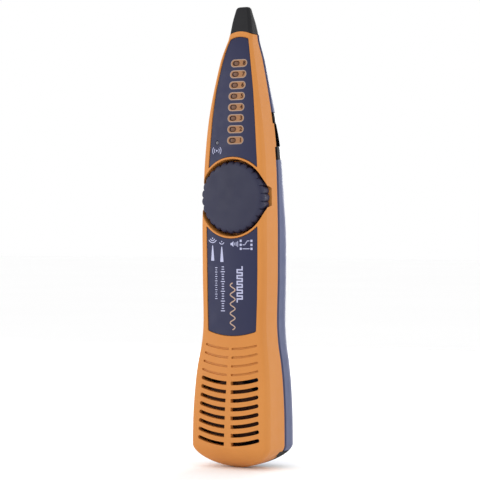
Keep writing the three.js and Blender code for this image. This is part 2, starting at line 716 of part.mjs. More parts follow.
function switchBody() {
  return turnedY(0, KNOB_Z, [[3.8, -0.7], [9, -0.7], [9, 1.4], [3.8, 1.4]], 24);
}

function knobScrew() {
  return screwY(0, KNOB_Z, 2.6, -3.1, -1.6, KNOB_SCREW_SHANK, -10.8);
}

// A screw along Y: a domed head on the rear side and a shank towards the front.
function screwY(x, z, headRadius, headFrom, headTo, shankRadius, shankEnd) {
  const dome = rodY(x, z, headRadius, headFrom, headTo, 14, headRadius * 0.8);
  const slot = union([0, 1].map((turn) => {
    const long = headRadius * 0.6;
    const wide = headRadius * 0.16;
    const w = turn ? wide : long;
    const h = turn ? long : wide;
    return box(x - w, x + w, headTo - 0.7, headTo + 1, z - h, z + h);
  }));
  return dome.add(rodY(x, z, shankRadius, shankEnd, headFrom + 0.1, 8)).subtract(slot);
}

function detentBall() {
  const ball = new THREE.SphereGeometry(1.25, 10, 6);
  return solidOf(ball.translate(0, RECESS_FLOOR_Y + 0.2, KNOB_Z - DETENT_RADIUS));
}

function detentSpring() {
  const turns = 2.5;
  const steps = 25;
  const radius = 1.05;
  const points = Array.from({ length: steps + 1 }, (_, i) => {
    const angle = (2 * Math.PI * turns * i) / steps;
    const z = KNOB_Z - DETENT_RADIUS + radius * Math.sin(angle);
    return new THREE.Vector3(radius * Math.cos(angle), mix(-4.75, -3.95, i / steps), z);
  });
  return cable(points, 0.13, 5, 24);
}

// ---- Cables -------------------------------------------------------------------------------------

function cable(points, radius, sides, steps) {
  const section = new THREE.Shape(arc(0, 0, radius, 0, 2 * Math.PI, sides).slice(0, -1)
    .map(([x, y]) => new THREE.Vector2(x, y)));
  const path = new THREE.CatmullRomCurve3(points);
  return solidOf(new THREE.ExtrudeGeometry(section, { steps, bevelEnabled: false, extrudePath: path }));
}

function batteryLead(x, across) {
  const route = [
    [x, 2, 73.4], [x * 1.1, 2.2, 78], [x + across, 1.6, 83], [x + across, 0.3, 88], [x + across, 0.1, 93],
  ];
  return cable(route.map((p) => new THREE.Vector3(...p)), 0.7, 8, 14);
}

// ---- Board, display and loudspeaker -------------------------------------------------------------

function mainBoard() {
  const outline = [
    [-9.4, BOARD_BOTTOM], [9.4, BOARD_BOTTOM], [9.4, 168.8], [0.5, 168.8], [0.5, 187.2], [5.8, 187.2],
    [4.8, BOARD_TOP], [-4.8, BOARD_TOP], [-9.4, 184],
  ];
  const holes = BOARD_SCREWS.map(([x, z]) => rodY(x, z, 1.4, -5, 2, 12));
  const plate = prism(outline, BOARD_FRONT_Y, BOARD_REAR_Y);
  return plate.subtract(union([...holes, rodY(0, KNOB_Z, 3.4, -5, 2, 20)]));
}

// Clear comb that carries light from the board to the eight windows.
function lightGuide() {
  const low = LED_FIRST_Z - 2.5;
  const high = ledHeights[LED_COUNT - 1] + 2.5;
  const bar = box(LED_X - 1.4, LED_X + 1.1, -6.4, -4.6, low, high);
  const legs = [low + 0.3, high - 0.3].map((z) => (
    box(LED_X - 1.2, LED_X + 1.2, -5, BOARD_FRONT_Y - GAP, z - 0.3, z + 0.3)));
  const fingers = ledHeights.map((z) => (
    prism(windowOutline(WINDOW_X, z, 0), -frontDepthAt(WINDOW_X, z + 1) + LABEL_RECESS + 0.35, -6)));
  return union([bar, ...legs, ...fingers]);
}

function ledChip(x, z) {
  const back = BOARD_FRONT_Y - GAP;
  return box(x - 1, x + 1, back - 1.2, back, z - 0.7, z + 0.7);
}

function syncLed() {
  const z = SYNC_Z;
  const face = -frontDepthAt(SYNC_X, z) + LABEL_RECESS + 0.3;
  return rodY(SYNC_X, z, 1.1, face, -6, 14).add(rodY(SYNC_X, z, 1.6, -8, BOARD_FRONT_Y - GAP, 14));
}

function speakerGasket() {
  const rim = SPEAKER_RADIUS;
  return turnedY(0, SPEAKER_Z, [[rim - 1.8, -14.4], [rim, -14.4], [rim, -13.7], [rim - 1.8, -13.7]], 24);
}

function speakerMagnet() {
  return rodY(0, SPEAKER_Z, 9, -8.4, -5.6, 28).add(rodY(0, SPEAKER_Z, 5.6, -10, -8, 20));
}

function speakerFrame() {
  const rim = SPEAKER_RADIUS;
  return turnedY(0, SPEAKER_Z, [
    [rim, -13.4], [rim, -12], [rim - 3, -12], [10, -8.7], [6.4, -8.7], [6.4, -9.4], [9.6, -9.4],
    [rim - 3.4, -12.5], [rim - 1.6, -13.4],
  ], 24);
}

function speakerCone() {
  const rim = SPEAKER_RADIUS - 2;
  return turnedY(0, SPEAKER_Z, [
    [0, -12.6], [3.6, -11.6], [6, -10.9], [rim - 2.4, -13.3], [rim, -13.6], [rim, -13.2],
    [rim - 2.6, -12.9], [6, -10.3], [0, -10.3],
  ], 24);
}

function battery() {
  const y0 = BATTERY_REAR_Y - BATTERY_DEPTH;
  const top = BATTERY_BOTTOM + BATTERY_HEIGHT;
  const half = BATTERY_WIDTH / 2;
  const radius = 2;
  const ring = (z, inset) => tipRing(z, half - inset, y0 + inset, BATTERY_REAR_Y - inset, radius);
  const can = loft([
    ring(BATTERY_BOTTOM, 0.6),
    ring(BATTERY_BOTTOM + 0.6, 0),
    ring(top - 0.6, 0),
    ring(top, 0.6),
  ]);
  const middle = BATTERY_REAR_Y - BATTERY_DEPTH / 2;
  const stud = rodZ(-SNAP_X, middle, STUD_RADIUS, top - 0.5, top + 2.4, 14);
  const socket = rodZ(SNAP_X, middle, SOCKET_RADIUS, top - 0.5, top + 2.2, 6);
  return union([can, stud, socket]);
}

function batterySnap() {
  const middle = BATTERY_REAR_Y - BATTERY_DEPTH / 2;
  const base = BATTERY_BOTTOM + BATTERY_HEIGHT + GAP;
  const plate = box(-12.6, 12.6, middle - 6, middle + 6, base, base + 4.6);
  const studRoom = rodZ(-SNAP_X, middle, STUD_RADIUS + GAP, base - 1, base + 2.6, 14);
  const socketRoom = rodZ(SNAP_X, middle, SOCKET_RADIUS + GAP, base - 1, base + 2.6, 14);
  return plate.subtract(studRoom).subtract(socketRoom);
}

// ---- The assembly -------------------------------------------------------------------------------

const material = {
  orange: [0xdd8f45, 0.45, 0],
  slate: [0x4d5272, 0.6, 0],
  label: [0x3d4160, 0.4, 0],
  knob: [0x45475c, 0.55, 0],
  black: [0x2e2e31, 0.5, 0],
  gloss_black: [0x1c1c20, 0.2, 0],
  smoke: [0x5d3a1f, 0.2, 0],
  white: [0xe6e4dc, 0.4, 0],
  board: [0x2f6b3c, 0.5, 0],
  brass: [0xb9954c, 0.3, 1],
  steel: [0xb4b6ba, 0.3, 1],
  paper: [0x39332e, 0.9, 0],
  foam: [0x35353a, 0.95, 0],
  can: [0x7d8088, 0.3, 0.8],
  red: [0xb02a22, 0.5, 0],
};

const probe = new THREE.Group();

function place(name, solid, look) {
  const [color, roughness, metalness] = material[look];
  const mesh = new THREE.Mesh(
    geometryOf(solid),
    new THREE.MeshStandardMaterial({ color, roughness, metalness }),
  );
  mesh.name = name;
  probe.add(mesh);
}

place('front_shell', frontShell(), 'orange');
place('rear_shell', rearShell(), 'slate');
place('upper_label', upperLabel(), 'label');
place('lower_label', label(lowerLabelOutline(0)), 'label');
place('probe_tip', probeTip(), 'black');
place('pickup_pin', rodZ(0, TIP_Y, PIN_RADIUS, PIN_FOOT, PIN_TOP, 16), 'brass');
place('pin_holder', pinHolder(), 'white');
place('tip_contact', tipContact(), 'brass');
place('main_board', mainBoard(), 'board');
place('processor_chip', box(-6, 4, BOARD_REAR_Y + GAP, BOARD_REAR_Y + 1.9, 108, 118), 'gloss_black');
place('light_guide', lightGuide(), 'smoke');
ledHeights.forEach((z, i) => place(`led_${i + 1}`, ledChip(LED_X, z), 'white'));
place('sync_led', syncLed(), 'smoke');
place('rotary_knob', rotaryKnob(), 'knob');
place('switch_rotor', switchRotor(), 'white');
place('switch_body', switchBody(), 'gloss_black');
place('knob_screw', knobScrew(), 'steel');
place('detent_ball', detentBall(), 'steel');
place('detent_spring', detentSpring(), 'steel');
place('grille_cloth', rodY(0, SPEAKER_Z, SPEAKER_RADIUS, -15.1, -14.7, 24), 'foam');
place('speaker_gasket', speakerGasket(), 'foam');
place('speaker_frame', speakerFrame(), 'steel');
place('speaker_cone', speakerCone(), 'paper');
place('speaker_magnet', speakerMagnet(), 'steel');
place('battery', battery(), 'can');
place('battery_snap', batterySnap(), 'black');
place('battery_lead_red', batteryLead(3, 2), 'red');
place('battery_lead_black', batteryLead(-3, -2), 'black');
place('battery_pad', box(-10, 10, 12.6, 13.3, 32, 60), 'foam');
place('battery_door', batteryDoor(), 'slate');
place('jack_bezel', jackBezel(), 'gloss_black');
place('modular_jack', modularJack(), 'black');
place('jack_shield', jackShield(), 'steel');
place('jack_contacts', jackContacts(), 'brass');
place('phone_jack', phoneJack(), 'gloss_black');
place('dust_cover', dustCover(), 'black');
SCREWS.forEach(([x, z], i) => {
  const seat = SCREW_HEAD_Y + GAP;
  const screw = screwY(x, z, SCREW_HEAD, seat, seat + 1.9, SCREW_SHANK, screwEndY(z));
  place(`case_screw_${i + 1}`, screw, 'steel');
});
BOARD_SCREWS.forEach(([x, z], i) => {
  const seat = BOARD_REAR_Y + GAP;
  const screw = screwY(x, z, 2.2, seat, seat + 1.5, BOARD_SCREW_SHANK, BOARD_SCREW_END_Y);
  place(`board_screw_${i + 1}`, screw, 'steel');
});

const extent = new THREE.Box3().setFromObject(probe);
probe.position.y = -(extent.min.y + extent.max.y) / 2;

export default probe;
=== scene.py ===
"""Hand-held tone probe: the looks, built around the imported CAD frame.

Shapes are worked out in millimetres in the drawing's own frame, where the seam between the two shells
is the plane y = 0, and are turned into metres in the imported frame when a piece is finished.
"""
import json
import math

import bmesh
import bpy
import numpy as np
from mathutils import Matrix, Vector, geometry


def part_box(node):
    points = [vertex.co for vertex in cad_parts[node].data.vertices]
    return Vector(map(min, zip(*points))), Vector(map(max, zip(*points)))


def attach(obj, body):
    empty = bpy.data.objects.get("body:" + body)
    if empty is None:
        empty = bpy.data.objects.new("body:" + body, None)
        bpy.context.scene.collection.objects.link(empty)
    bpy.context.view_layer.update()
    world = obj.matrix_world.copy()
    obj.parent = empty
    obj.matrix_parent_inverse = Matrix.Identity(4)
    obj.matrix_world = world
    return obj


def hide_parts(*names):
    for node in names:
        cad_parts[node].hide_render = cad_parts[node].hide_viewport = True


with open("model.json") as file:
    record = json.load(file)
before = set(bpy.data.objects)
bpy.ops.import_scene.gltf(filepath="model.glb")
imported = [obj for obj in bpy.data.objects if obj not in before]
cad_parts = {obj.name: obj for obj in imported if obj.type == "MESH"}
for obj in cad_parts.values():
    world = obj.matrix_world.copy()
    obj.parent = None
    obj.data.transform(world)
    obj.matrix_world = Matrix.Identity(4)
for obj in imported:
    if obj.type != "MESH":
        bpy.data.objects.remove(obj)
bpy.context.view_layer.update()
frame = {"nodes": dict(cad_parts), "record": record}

# ---- Driving dimensions, in millimetres ----

MM = 0.001
GAP = 0.3
SEAM = 0.15
SEAM_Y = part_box("rear_shell")[0].y / MM - SEAM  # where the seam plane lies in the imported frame


def node_box(name):
    """Lowest and highest corner of a CAD node, in millimetres in the drawing's frame."""
    low, high = (np.array(corner) / MM - [0, SEAM_Y, 0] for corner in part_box(name))
    return low, high


def centre(name):
    low, high = node_box(name)
    return (low + high) / 2


def profile(points):
    """A smooth curve through (height, value) points that never overshoots them."""
    heights, values = np.array(points, float).T
    slopes = np.diff(values) / np.diff(heights)
    before, after = slopes[:-1], slopes[1:]
    same = before * after > 0
    inner = np.where(same, 2 * before * after / np.where(same, before + after, 1), 0)
    tangents = np.concatenate([[0], inner, [0]])

    def at(z):
        z = np.clip(z, heights[0], heights[-1])
        i = np.clip(np.searchsorted(heights, z, side="right") - 1, 0, len(slopes) - 1)
        width = heights[i + 1] - heights[i]
        t = (z - heights[i]) / width
        rise = t * t * (3 - 2 * t)
        start = values[i] + (values[i + 1] - values[i]) * rise
        return start + width * (t * (1 - t) ** 2 * tangents[i] - t * t * (1 - t) * tangents[i + 1])

    return at


HALF_WIDTH = profile([
    (12, 23.95), (25, 23.85), (36, 23.45), (47, 22.75), (57, 21.6), (67, 20), (78, 19.3), (105, 19.8),
    (127, 19.8), (143, 19.5), (159, 19), (175, 17.75), (186, 16.4), (202, 13.7), (218, 10.5), (233, 7),
])
FRONT_DEPTH = profile([
    (12, 18.8), (31, 18.4), (41, 17.8), (52, 17.1), (63, 15.9), (74, 15.3), (100, 15.1), (130, 15.4),
    (159, 14.5), (186, 13.9), (197, 13.2), (208, 12), (218, 10.6), (226, 8.8), (233, 6.6),
])
REAR_DEPTH = profile([
    (12, 15.5), (118, 15.5), (143, 13.6), (159, 12.2), (170, 11.7), (181, 10.5), (191, 9.4),
    (202, 7.4), (218, 4.9), (233, 3.2),
])
CROWN = profile([(12, 1.4), (70, 1.3), (122, 1.6), (165, 1.4), (190, 0.9), (233, 0.4)])
FRONT_RADIUS = profile([(12, 3.6), (150, 3.2), (200, 2.5), (233, 1.8)])
REAR_RADIUS = profile([(12, 9.1), (143, 8.9), (190, 8.1), (202, 6.7), (218, 4.1), (233, 2.4)])

DOME_HEIGHT = 12
DOME_POWER = 1.7
DOME_CENTRE_Y = -6.7
DOME_PAD = 0.12

CASE_TOP = 235  # the case is drawn past the nose and then cut back to its arch
NOSE_ARCH_TOP = 233.6
NOSE_ARCH_DROP = 0.034  # of the arch, per square millimetre of x

KNOB_Z = centre("rotary_knob")[2]
KNOB_RADIUS = (node_box("rotary_knob")[1][0] - node_box("rotary_knob")[0][0]) / 2
KNOB_TEETH = 27
RECESS_FLOOR_Y = -6.5
RECESS_RADIUS = 20.6
RECESS_EDGE_Y = -15.4
RECESS_FLOOR_RADIUS = 20
LABEL_RECESS = 0.5
LABEL_THICKNESS = 0.9
LABEL_ARC = 21.9
LABEL_CLEARANCE = 0.25

LED_HEIGHTS = [centre(f"led_{i + 1}")[2] for i in range(8)]
LED_X = centre("led_1")[0]
WINDOW_X = 0.1  # the windows stand a little right of the lamps
SYNC_X, _, SYNC_Z = centre("sync_led")
SYNC_RADIUS = 1.1

SCREWS = [centre(f"case_screw_{i + 1}")[[0, 2]] for i in range(4)]
SCREW_SEAT_Y = 4
JACK_Z = centre("modular_jack")[2]
PHONE_X, PHONE_Y, PHONE_RADIUS = centre("phone_jack")[0], 5.4, 3.1
SHANK_HOLE = 1.7  # radius, through the rear shell
SOCKET_HOLE = 1.6  # radius, up into the front shell's bosses


# ---- Mesh helpers ----

def linked(name, data):
    obj = bpy.data.objects.new(name, data)
    bpy.context.scene.collection.objects.link(obj)
    return obj


def solid(vertices, faces):
    """A closed mesh object with its faces turned outwards."""
    mesh = bpy.data.meshes.new("solid")
    mesh.from_pydata([tuple(v) for v in vertices], [], [tuple(f) for f in faces])
    work = bmesh.new()
    work.from_mesh(mesh)
    bmesh.ops.recalc_face_normals(work, faces=work.faces)
    if work.calc_volume(signed=True) < 0:
        bmesh.ops.reverse_faces(work, faces=work.faces)
    work.to_mesh(mesh)
    work.free()
    return linked("solid", mesh)


def cap(ring):
    """Triangles over a closed ring that need not be flat or convex."""
    return geometry.tessellate_polygon([[Vector(p) for p in ring]])


def loft(rings):
    """A closed solid through rings of equal length."""
    count = len(rings[0])
    faces = []
    for r in range(len(rings) - 1):
        for i in range(count):
            a, b = r * count + i, r * count + (i + 1) % count
            faces.append((a, b, b + count, a + count))
    top = (len(rings) - 1) * count
    faces += [tuple(t) for t in cap(rings[0])]
    faces += [tuple(top + i for i in t) for t in cap(rings[-1])]
    return solid(np.concatenate([np.asarray(r, float) for r in rings]), faces)


def arc(cx, cy, radius, start, end, steps):
    angles = np.linspace(start, end, steps + 1)
    return np.stack([cx + radius * np.cos(angles), cy + radius * np.sin(angles)], axis=1)


def at_y(outline, y):
    """An outline in x and z as a ring at a depth, which may differ from point to point."""
    outline = np.asarray(outline, float)
    return np.stack([outline[:, 0], np.broadcast_to(y, len(outline)), outline[:, 1]], axis=1)


def prism(outline, y0, y1):
    return loft([at_y(outline, y0), at_y(outline, y1)])


def box(x0, x1, y0, y1, z0, z1):
    return prism([(x0, z0), (x1, z0), (x1, z1), (x0, z1)], y0, y1)


def circle(x, y, radius, sides):
    return arc(x, y, radius, 0, 2 * math.pi, sides)[:-1]


def rod_y(x, z, radius, y0, y1, sides):
    return prism(circle(0, 0, 1, sides) * radius + [x, z], y0, y1)


def rod_z(x, y, radius, z0, z1, sides):
    return loft([[(px, py, z) for px, py in circle(x, y, radius, sides)] for z in (z0, z1)])


def turned_y(x, z, outline, sides):
    """A solid of revolution about a Y axis. The outline is (radius, y). It may touch the axis."""
    vertices, faces, rows = [], [], []
    for radius, y in outline:
        if radius < 1e-6:
            rows.append([len(vertices)] * sides)
            vertices.append((x, y, z))
            continue
        rows.append(list(range(len(vertices), len(vertices) + sides)))
        vertices += [tuple(p) for p in at_y(circle(x, z, radius, sides), y)]
    closed = outline[0][0] > 1e-6 or outline[-1][0] > 1e-6
    pairs = list(zip(rows, rows[1:])) + ([(rows[-1], rows[0])] if closed else [])
    for low, high in pairs:
        for i in range(sides):
            j = (i + 1) % sides
            corners = list(dict.fromkeys([low[i], low[j], high[j], high[i]]))
            if len(corners) > 2:
                faces.append(corners)
    return solid(vertices, faces)


def apply_modifiers(obj):
    graph = bpy.context.evaluated_depsgraph_get()
    obj.data = bpy.data.meshes.new_from_object(obj.evaluated_get(graph))
    obj.modifiers.clear()


def combine(base, operation, others):
    """Booleans base with each of the others in turn, and removes the others."""
    for other in others:
        step = base.modifiers.new("step", "BOOLEAN")
        step.operation = operation
        step.solver = "MANIFOLD"
        step.object = other
    apply_modifiers(base)
    for other in others:
        bpy.data.objects.remove(other)
    return base


def cut(base, *others):
    return combine(base, "DIFFERENCE", others)


def keep(base, *others):
    return combine(base, "INTERSECT", others)


def add(base, *others):
    return combine(base, "UNION", others)


def outward(outline):
    """Outward normals of a closed outline at its points, lengthened where it turns a corner."""
    points = np.asarray(outline, float)
    edges = np.roll(points, -1, axis=0) - points
    area = np.sum(points[:, 0] * np.roll(points[:, 1], -1) - np.roll(points[:, 0], -1) * points[:, 1])
    normals = np.stack([edges[:, 1], -edges[:, 0]], axis=1) * (1 if area > 0 else -1)
    normals /= np.maximum(np.linalg.norm(normals, axis=1), 1e-9)[:, None]
    both = normals + np.roll(normals, 1, axis=0)
    both /= np.maximum(np.linalg.norm(both, axis=1), 1e-9)[:, None]
    lengthen = 1 / np.maximum(np.sum(both * normals, axis=1), 0.5)
    return both * lengthen[:, None]


def grown(outline, amount):
    return np.asarray(outline, float) + outward(outline) * amount


def rounded(outline, radius, steps=5):
    """An outline with its sharp corners turned into short curves."""
    points = np.asarray(outline, float)
    made = []
    for before, here, after in zip(np.roll(points, 1, axis=0), points, np.roll(points, -1, axis=0)):
        a, b = before - here, after - here
        la, lb = np.linalg.norm(a), np.linalg.norm(b)
        turn = math.acos(np.clip(-np.dot(a, b) / (la * lb), -1, 1))
        if turn < math.radians(25):
            made.append(here)
            continue
        reach = min(radius * math.tan(turn / 2), la * 0.45, lb * 0.45)
        start, end = here + a / la * reach, here + b / lb * reach
        for t in np.linspace(0, 1, steps + 1):
            made.append((1 - t) ** 2 * start + 2 * t * (1 - t) * here + t * t * end)
    return np.array(made)


# ---- The case's outer form ----

def dome_scale(z, bottom=0.0):
    below = np.clip((DOME_HEIGHT - np.asarray(z, float)) / (DOME_HEIGHT - bottom), 0, 1)
    return np.maximum(DOME_PAD, (1 - below ** DOME_POWER) ** (1 / DOME_POWER))


WALL = 2.6  # front wall, under the label pockets
SKIN = profile([(190, 2), (226, 1.2)])  # side and rear walls
CAVITY = "cavity"  # used as an inset, it stands for the inner faces of the shells


def section(z, inset=0.0):
    """Half width, depths, corner radii and crown of the case at a height, moved inwards by inset."""
    side, front, rear = (SKIN(z), WALL, SKIN(z)) if inset is CAVITY else (inset, inset, inset)
    w = HALF_WIDTH(z) - side
    f, r = FRONT_DEPTH(z) - front, REAR_DEPTH(z) - rear
    fr = np.maximum(0.8, FRONT_RADIUS(z) - front)
    rr = np.maximum(0.8, REAR_RADIUS(z) - rear)
    lean = np.arctan(2 * CROWN(z) / (w - fr + 0.8))
    reach = w - fr + fr * np.sin(lean)
    crown = np.tan(lean) * reach / 2
    return w, f, r, fr, rr, lean, reach, crown


def case_ring(z, inset, corner, across):
    w, f, r, fr, rr, lean, reach, crown = section(z, inset)
    right = arc(w - fr, fr - f, fr, 0, lean - math.pi / 2, corner)
    xs = np.linspace(reach, -reach, across + 1)[1:-1]
    edge_y = fr - f - fr * math.cos(lean)
    middle = np.stack([xs, edge_y - crown * (1 - (xs / reach) ** 2)], axis=1)
    left = right[::-1] * [-1, 1]
    rear_left = arc(rr - w, r - rr, rr, math.pi, math.pi / 2, corner)
    rear_right = arc(w - rr, r - rr, rr, math.pi / 2, 0, corner)
    ring = np.concatenate([right, middle, left, rear_left, rear_right])
    scale = dome_scale(z, bottom_of(inset))
    return [(x * scale, DOME_CENTRE_Y + (y - DOME_CENTRE_Y) * scale, z) for x, y in ring]


def bottom_of(inset):
    return WALL if inset is CAVITY else inset


def case_solid(inset=0.0, fine=True, top=CASE_TOP):
    """The case's form, moved inwards by inset, or its cavity."""
    bottom = bottom_of(inset)
    turn = np.linspace(math.pi / 2, 0, 15 if fine else 7)[:-1]
    dome = DOME_HEIGHT - (DOME_HEIGHT - bottom) * np.sin(turn) ** (2 / DOME_POWER)
    above = np.arange(DOME_HEIGHT, top, 3.5 if fine else 9)
    heights = np.concatenate([dome, above, [top]])
    steps = (9, 10) if fine else (4, 4)
    return loft([case_ring(z, inset, *steps) for z in heights])


def front_y(x, z, inset=0.0):
    """Depth of the front surface at x and z."""
    w, f, _, fr, _, lean, reach, crown = section(z, inset)
    scale = dome_scale(z, bottom_of(inset))
    u = np.minimum(np.abs(x) / scale, w - 0.01)
    edge_y = fr - f - fr * np.cos(lean)
    on_crown = edge_y - crown * (1 - (u / reach) ** 2)
    on_corner = fr - f - np.sqrt(np.maximum(fr ** 2 - (u - w + fr) ** 2, 0))
    y = np.where(u < reach, on_crown, on_corner)
    return DOME_CENTRE_Y + (y - DOME_CENTRE_Y) * scale


def rear_y(x, z):
    """Depth of the rear surface at x and z."""
    w, _, r, _, rr, _, _, _ = section(z)
    u = np.minimum(np.abs(x), w - 0.01)
    return r - rr + np.sqrt(np.maximum(rr ** 2 - np.maximum(u - w + rr, 0) ** 2, 0))


OUTSIDE = 30  # a depth that clears the case on either side


def off_surface(points, inset=0.0):
    """Roughly how far points lie outside the case's surface, moved inwards by inset."""
    x, y, z = points.T
    w, f, r, fr, rr, lean, reach, crown = section(z, inset)
    scale = dome_scale(z, bottom_of(inset))
    u = np.abs(x) / scale
    v = (y - DOME_CENTRE_Y) / scale + DOME_CENTRE_Y
    across, ahead = u - (w - fr), (fr - f) - v
    edge_y = fr - f - fr * np.cos(lean)
    slope = 2 * crown * u / reach ** 2
    on_crown = (edge_y - crown * (1 - (u / reach) ** 2) - v) / np.sqrt(1 + slope ** 2)
    in_corner = (ahead > 0) & (np.arctan2(across, np.maximum(ahead, 1e-9)) > lean)
    front = np.where(in_corner, np.hypot(across, ahead) - fr, np.where(ahead > 0, on_crown, u - w))
    beside, behind = u - (w - rr), v - (r - rr)
    rear = np.where(beside > 0, np.where(behind > 0, np.hypot(beside, behind) - rr, u - w), v - r)
    return np.where(v < 0, front, rear) * scale


def surface_normals(points, inset=0.0):
    step = 0.02
    gradient = [
        off_surface(points + step * axis, inset) - off_surface(points - step * axis, inset)
        for axis in np.eye(3)
    ]
    normals = np.stack(gradient, axis=1)
    return normals / np.maximum(np.linalg.norm(normals, axis=1), 1e-12)[:, None]


def opening(outline, radius, end_y, surface=front_y, direction=1):
    """A cutter along Y for an outline in x and z that rounds over the edge where it meets the surface."""
    normals = outward(outline)
    points = np.asarray(outline, float)
    rings = [at_y(points + normals * radius, -OUTSIDE * direction)]
    levels = [(radius * (1 - math.sin(turn)), radius * (1 - math.cos(turn)))
              for turn in np.linspace(0, math.pi / 2, 5)]
    for offset, depth in levels:
        moved = points + normals * offset
        rings.append(at_y(moved, surface(moved[:, 0], moved[:, 1]) + direction * depth))
    rings.append(at_y(points, end_y))
    return loft(rings)


# ---- Outlines ----

UPPER_LABEL_SIDE = [(6.25, 226.5), (8.7, 216), (11.2, 202), (13, 186), (13.8, 175)]  # x, z
UPPER_LABEL_CORNER = (5.3, 229.4)
UPPER_LABEL_TOP = 230.5
LOWER_LABEL_SIDE = [(15.35, 106), (15.1, 90), (14.6, 73.4)]
LOWER_LABEL_END = 70.9


def bowed(corner, middle_z, xs):
    """Points on a parabola that passes through a corner and, at x = 0, through middle_z."""
    x, z = corner
    return [(at, middle_z + (z - middle_z) * (at / x) ** 2) for at in xs]


def around_dial(half_width, turn):
    """A label's edge round the dial, above it or, with a turn of pi, below it."""
    swing = math.acos(half_width / LABEL_ARC)
    return arc(0, KNOB_Z, LABEL_ARC, turn + swing, turn + math.pi - swing, 40)


def mirrored(side):
    return [(-x, z) for x, z in side[::-1]]


def upper_label_outline():
    side, reach = UPPER_LABEL_SIDE, UPPER_LABEL_CORNER[0]
    top = bowed(UPPER_LABEL_CORNER, UPPER_LABEL_TOP, np.linspace(-reach, reach, 7))
    return rounded([*side, *around_dial(14.8, 0), *mirrored(side), *top], 0.9)


def lower_label_outline():
    side, reach = LOWER_LABEL_SIDE, LOWER_LABEL_SIDE[-1][0]
    end = bowed(side[-1], LOWER_LABEL_END, np.linspace(reach, -reach, 15)[1:-1])
    return rounded([*around_dial(15.5, math.pi), *side, *end, *mirrored(side)], 1.1)


def oval(x, z, width, height, steps=10):
    """A slot shape with round ends."""
    radius = height / 2
    reach = (width - height) / 2
    right = arc(x + reach, z, radius, -math.pi / 2, math.pi / 2, steps)
    return np.concatenate([right, arc(x - reach, z, radius, math.pi / 2, 1.5 * math.pi, steps)])


WINDOW = (3.1, 2.3)  # width and height
GRILLE_ARC = 58
SLOTS = (8, 45.7, 4.62, (1.35, 2.15), (17.5, 18.9))  # rows, top, pitch, inner and outer ends
SLOT_THICKNESS = 2.0
GROOVES = (4, 63.9, 4.6, (0.9, 1.3), (15.8, 17.3))
GROOVE_THICKNESS = 1.05
GROOVE_DEPTH = 0.8


def slot_outline(side, z, start, end, thickness):
    """One half-row of the grille: a curved slot that rises away from the middle rib."""
    half = thickness / 2
    middle = z + GRILLE_ARC
    a = math.asin(start / GRILLE_ARC) - math.pi / 2
    b = math.asin((end - half) / GRILLE_ARC) - math.pi / 2
    low = arc(0, middle, GRILLE_ARC + half, a, b, 12)
    high = arc(0, middle, GRILLE_ARC - half, b, a, 12)
    tip = (low[-1] + high[0]) / 2
    end_cap = arc(tip[0], tip[1], half, b, b + math.pi, 8)[1:-1]
    outline = np.concatenate([low, end_cap, high]) * [side, 1]
    return rounded(outline, 0.3, 3)


def grille_cutters(rows, thickness):
    """Cutters for a block of half-rows, from the top down."""
    count, top, pitch, inner, outer = rows
    made = []
    for row, start, end in zip(range(count), np.linspace(*inner, count), np.linspace(*outer, count)):
        for side in (-1, 1):
            outline = slot_outline(side, top - pitch * row, start, end, thickness)
            made.append(opening(outline, 0.2, -10))
    return made


# ---- Seam ----

def seam_outline(y):
    """Where the case's surface crosses the plane at depth y near the seam, as x and z."""
    heights = np.arange(CASE_TOP + 3, DOME_HEIGHT, -3.0)
    right = [(HALF_WIDTH(z), z) for z in heights]
    w, _, r, _, rr, _, _, _ = section(DOME_HEIGHT)
    least = (y - DOME_CENTRE_Y) / (r - DOME_CENTRE_Y)
    for scale in np.linspace(1, least, 26):
        v = DOME_CENTRE_Y + (y - DOME_CENTRE_Y) / scale
        beyond = min(max(v - (r - rr), 0), rr)
        x = scale * (w - rr + math.sqrt(rr * rr - beyond * beyond))
        z = DOME_HEIGHT * (1 - (1 - scale ** DOME_POWER) ** (1 / DOME_POWER))
        right.append((x, z))
    right = np.array(right)
    return np.concatenate([right, right[::-1] * [-1, 1]])


SEAM_ROUND = 0.55
SEAM_EDGES = {  # (distance from the seam plane, inset) of each shell's edge, from the seam outwards
    -1: [(SEAM + SEAM_ROUND * (1 - math.cos(t)), SEAM_ROUND * (1 - math.sin(t)))
         for t in np.linspace(0, math.pi / 2, 6)],
    1: [(SEAM, 0.85), (1.5, 0.85), (1.55, 0.3), (1.65, 0.1), (1.85, 0)],
}


def seam_half(direction):
    """The space on one side of the seam. The front edge is rounded, and the rear one leaves a groove."""
    edge = SEAM_EDGES[direction]
    made = [at_y(grown(seam_outline(direction * y), -inset), direction * y) for y, inset in edge]
    last = edge[-1][0] * direction
    wide = grown(seam_outline(last), 4)
    made.append(at_y(wide, last + direction * 0.02))
    made.append(at_y(wide, direction * 40))
    return loft(made)


# ---- Finishing a piece ----

SHARP_ANGLE = math.radians(38)
ON_SURFACE = 0.035  # how near a face has to lie to the case's surface to take its normals,
ON_SURFACE_ANGLE = math.radians(26)  # and how near in direction


def values(items, attribute, kind=np.float32, width=3):
    """One attribute of every item in a mesh's collection, a row each."""
    found = np.zeros(len(items) * width, kind)
    items.foreach_get(attribute, found)
    return found.reshape(-1, width)


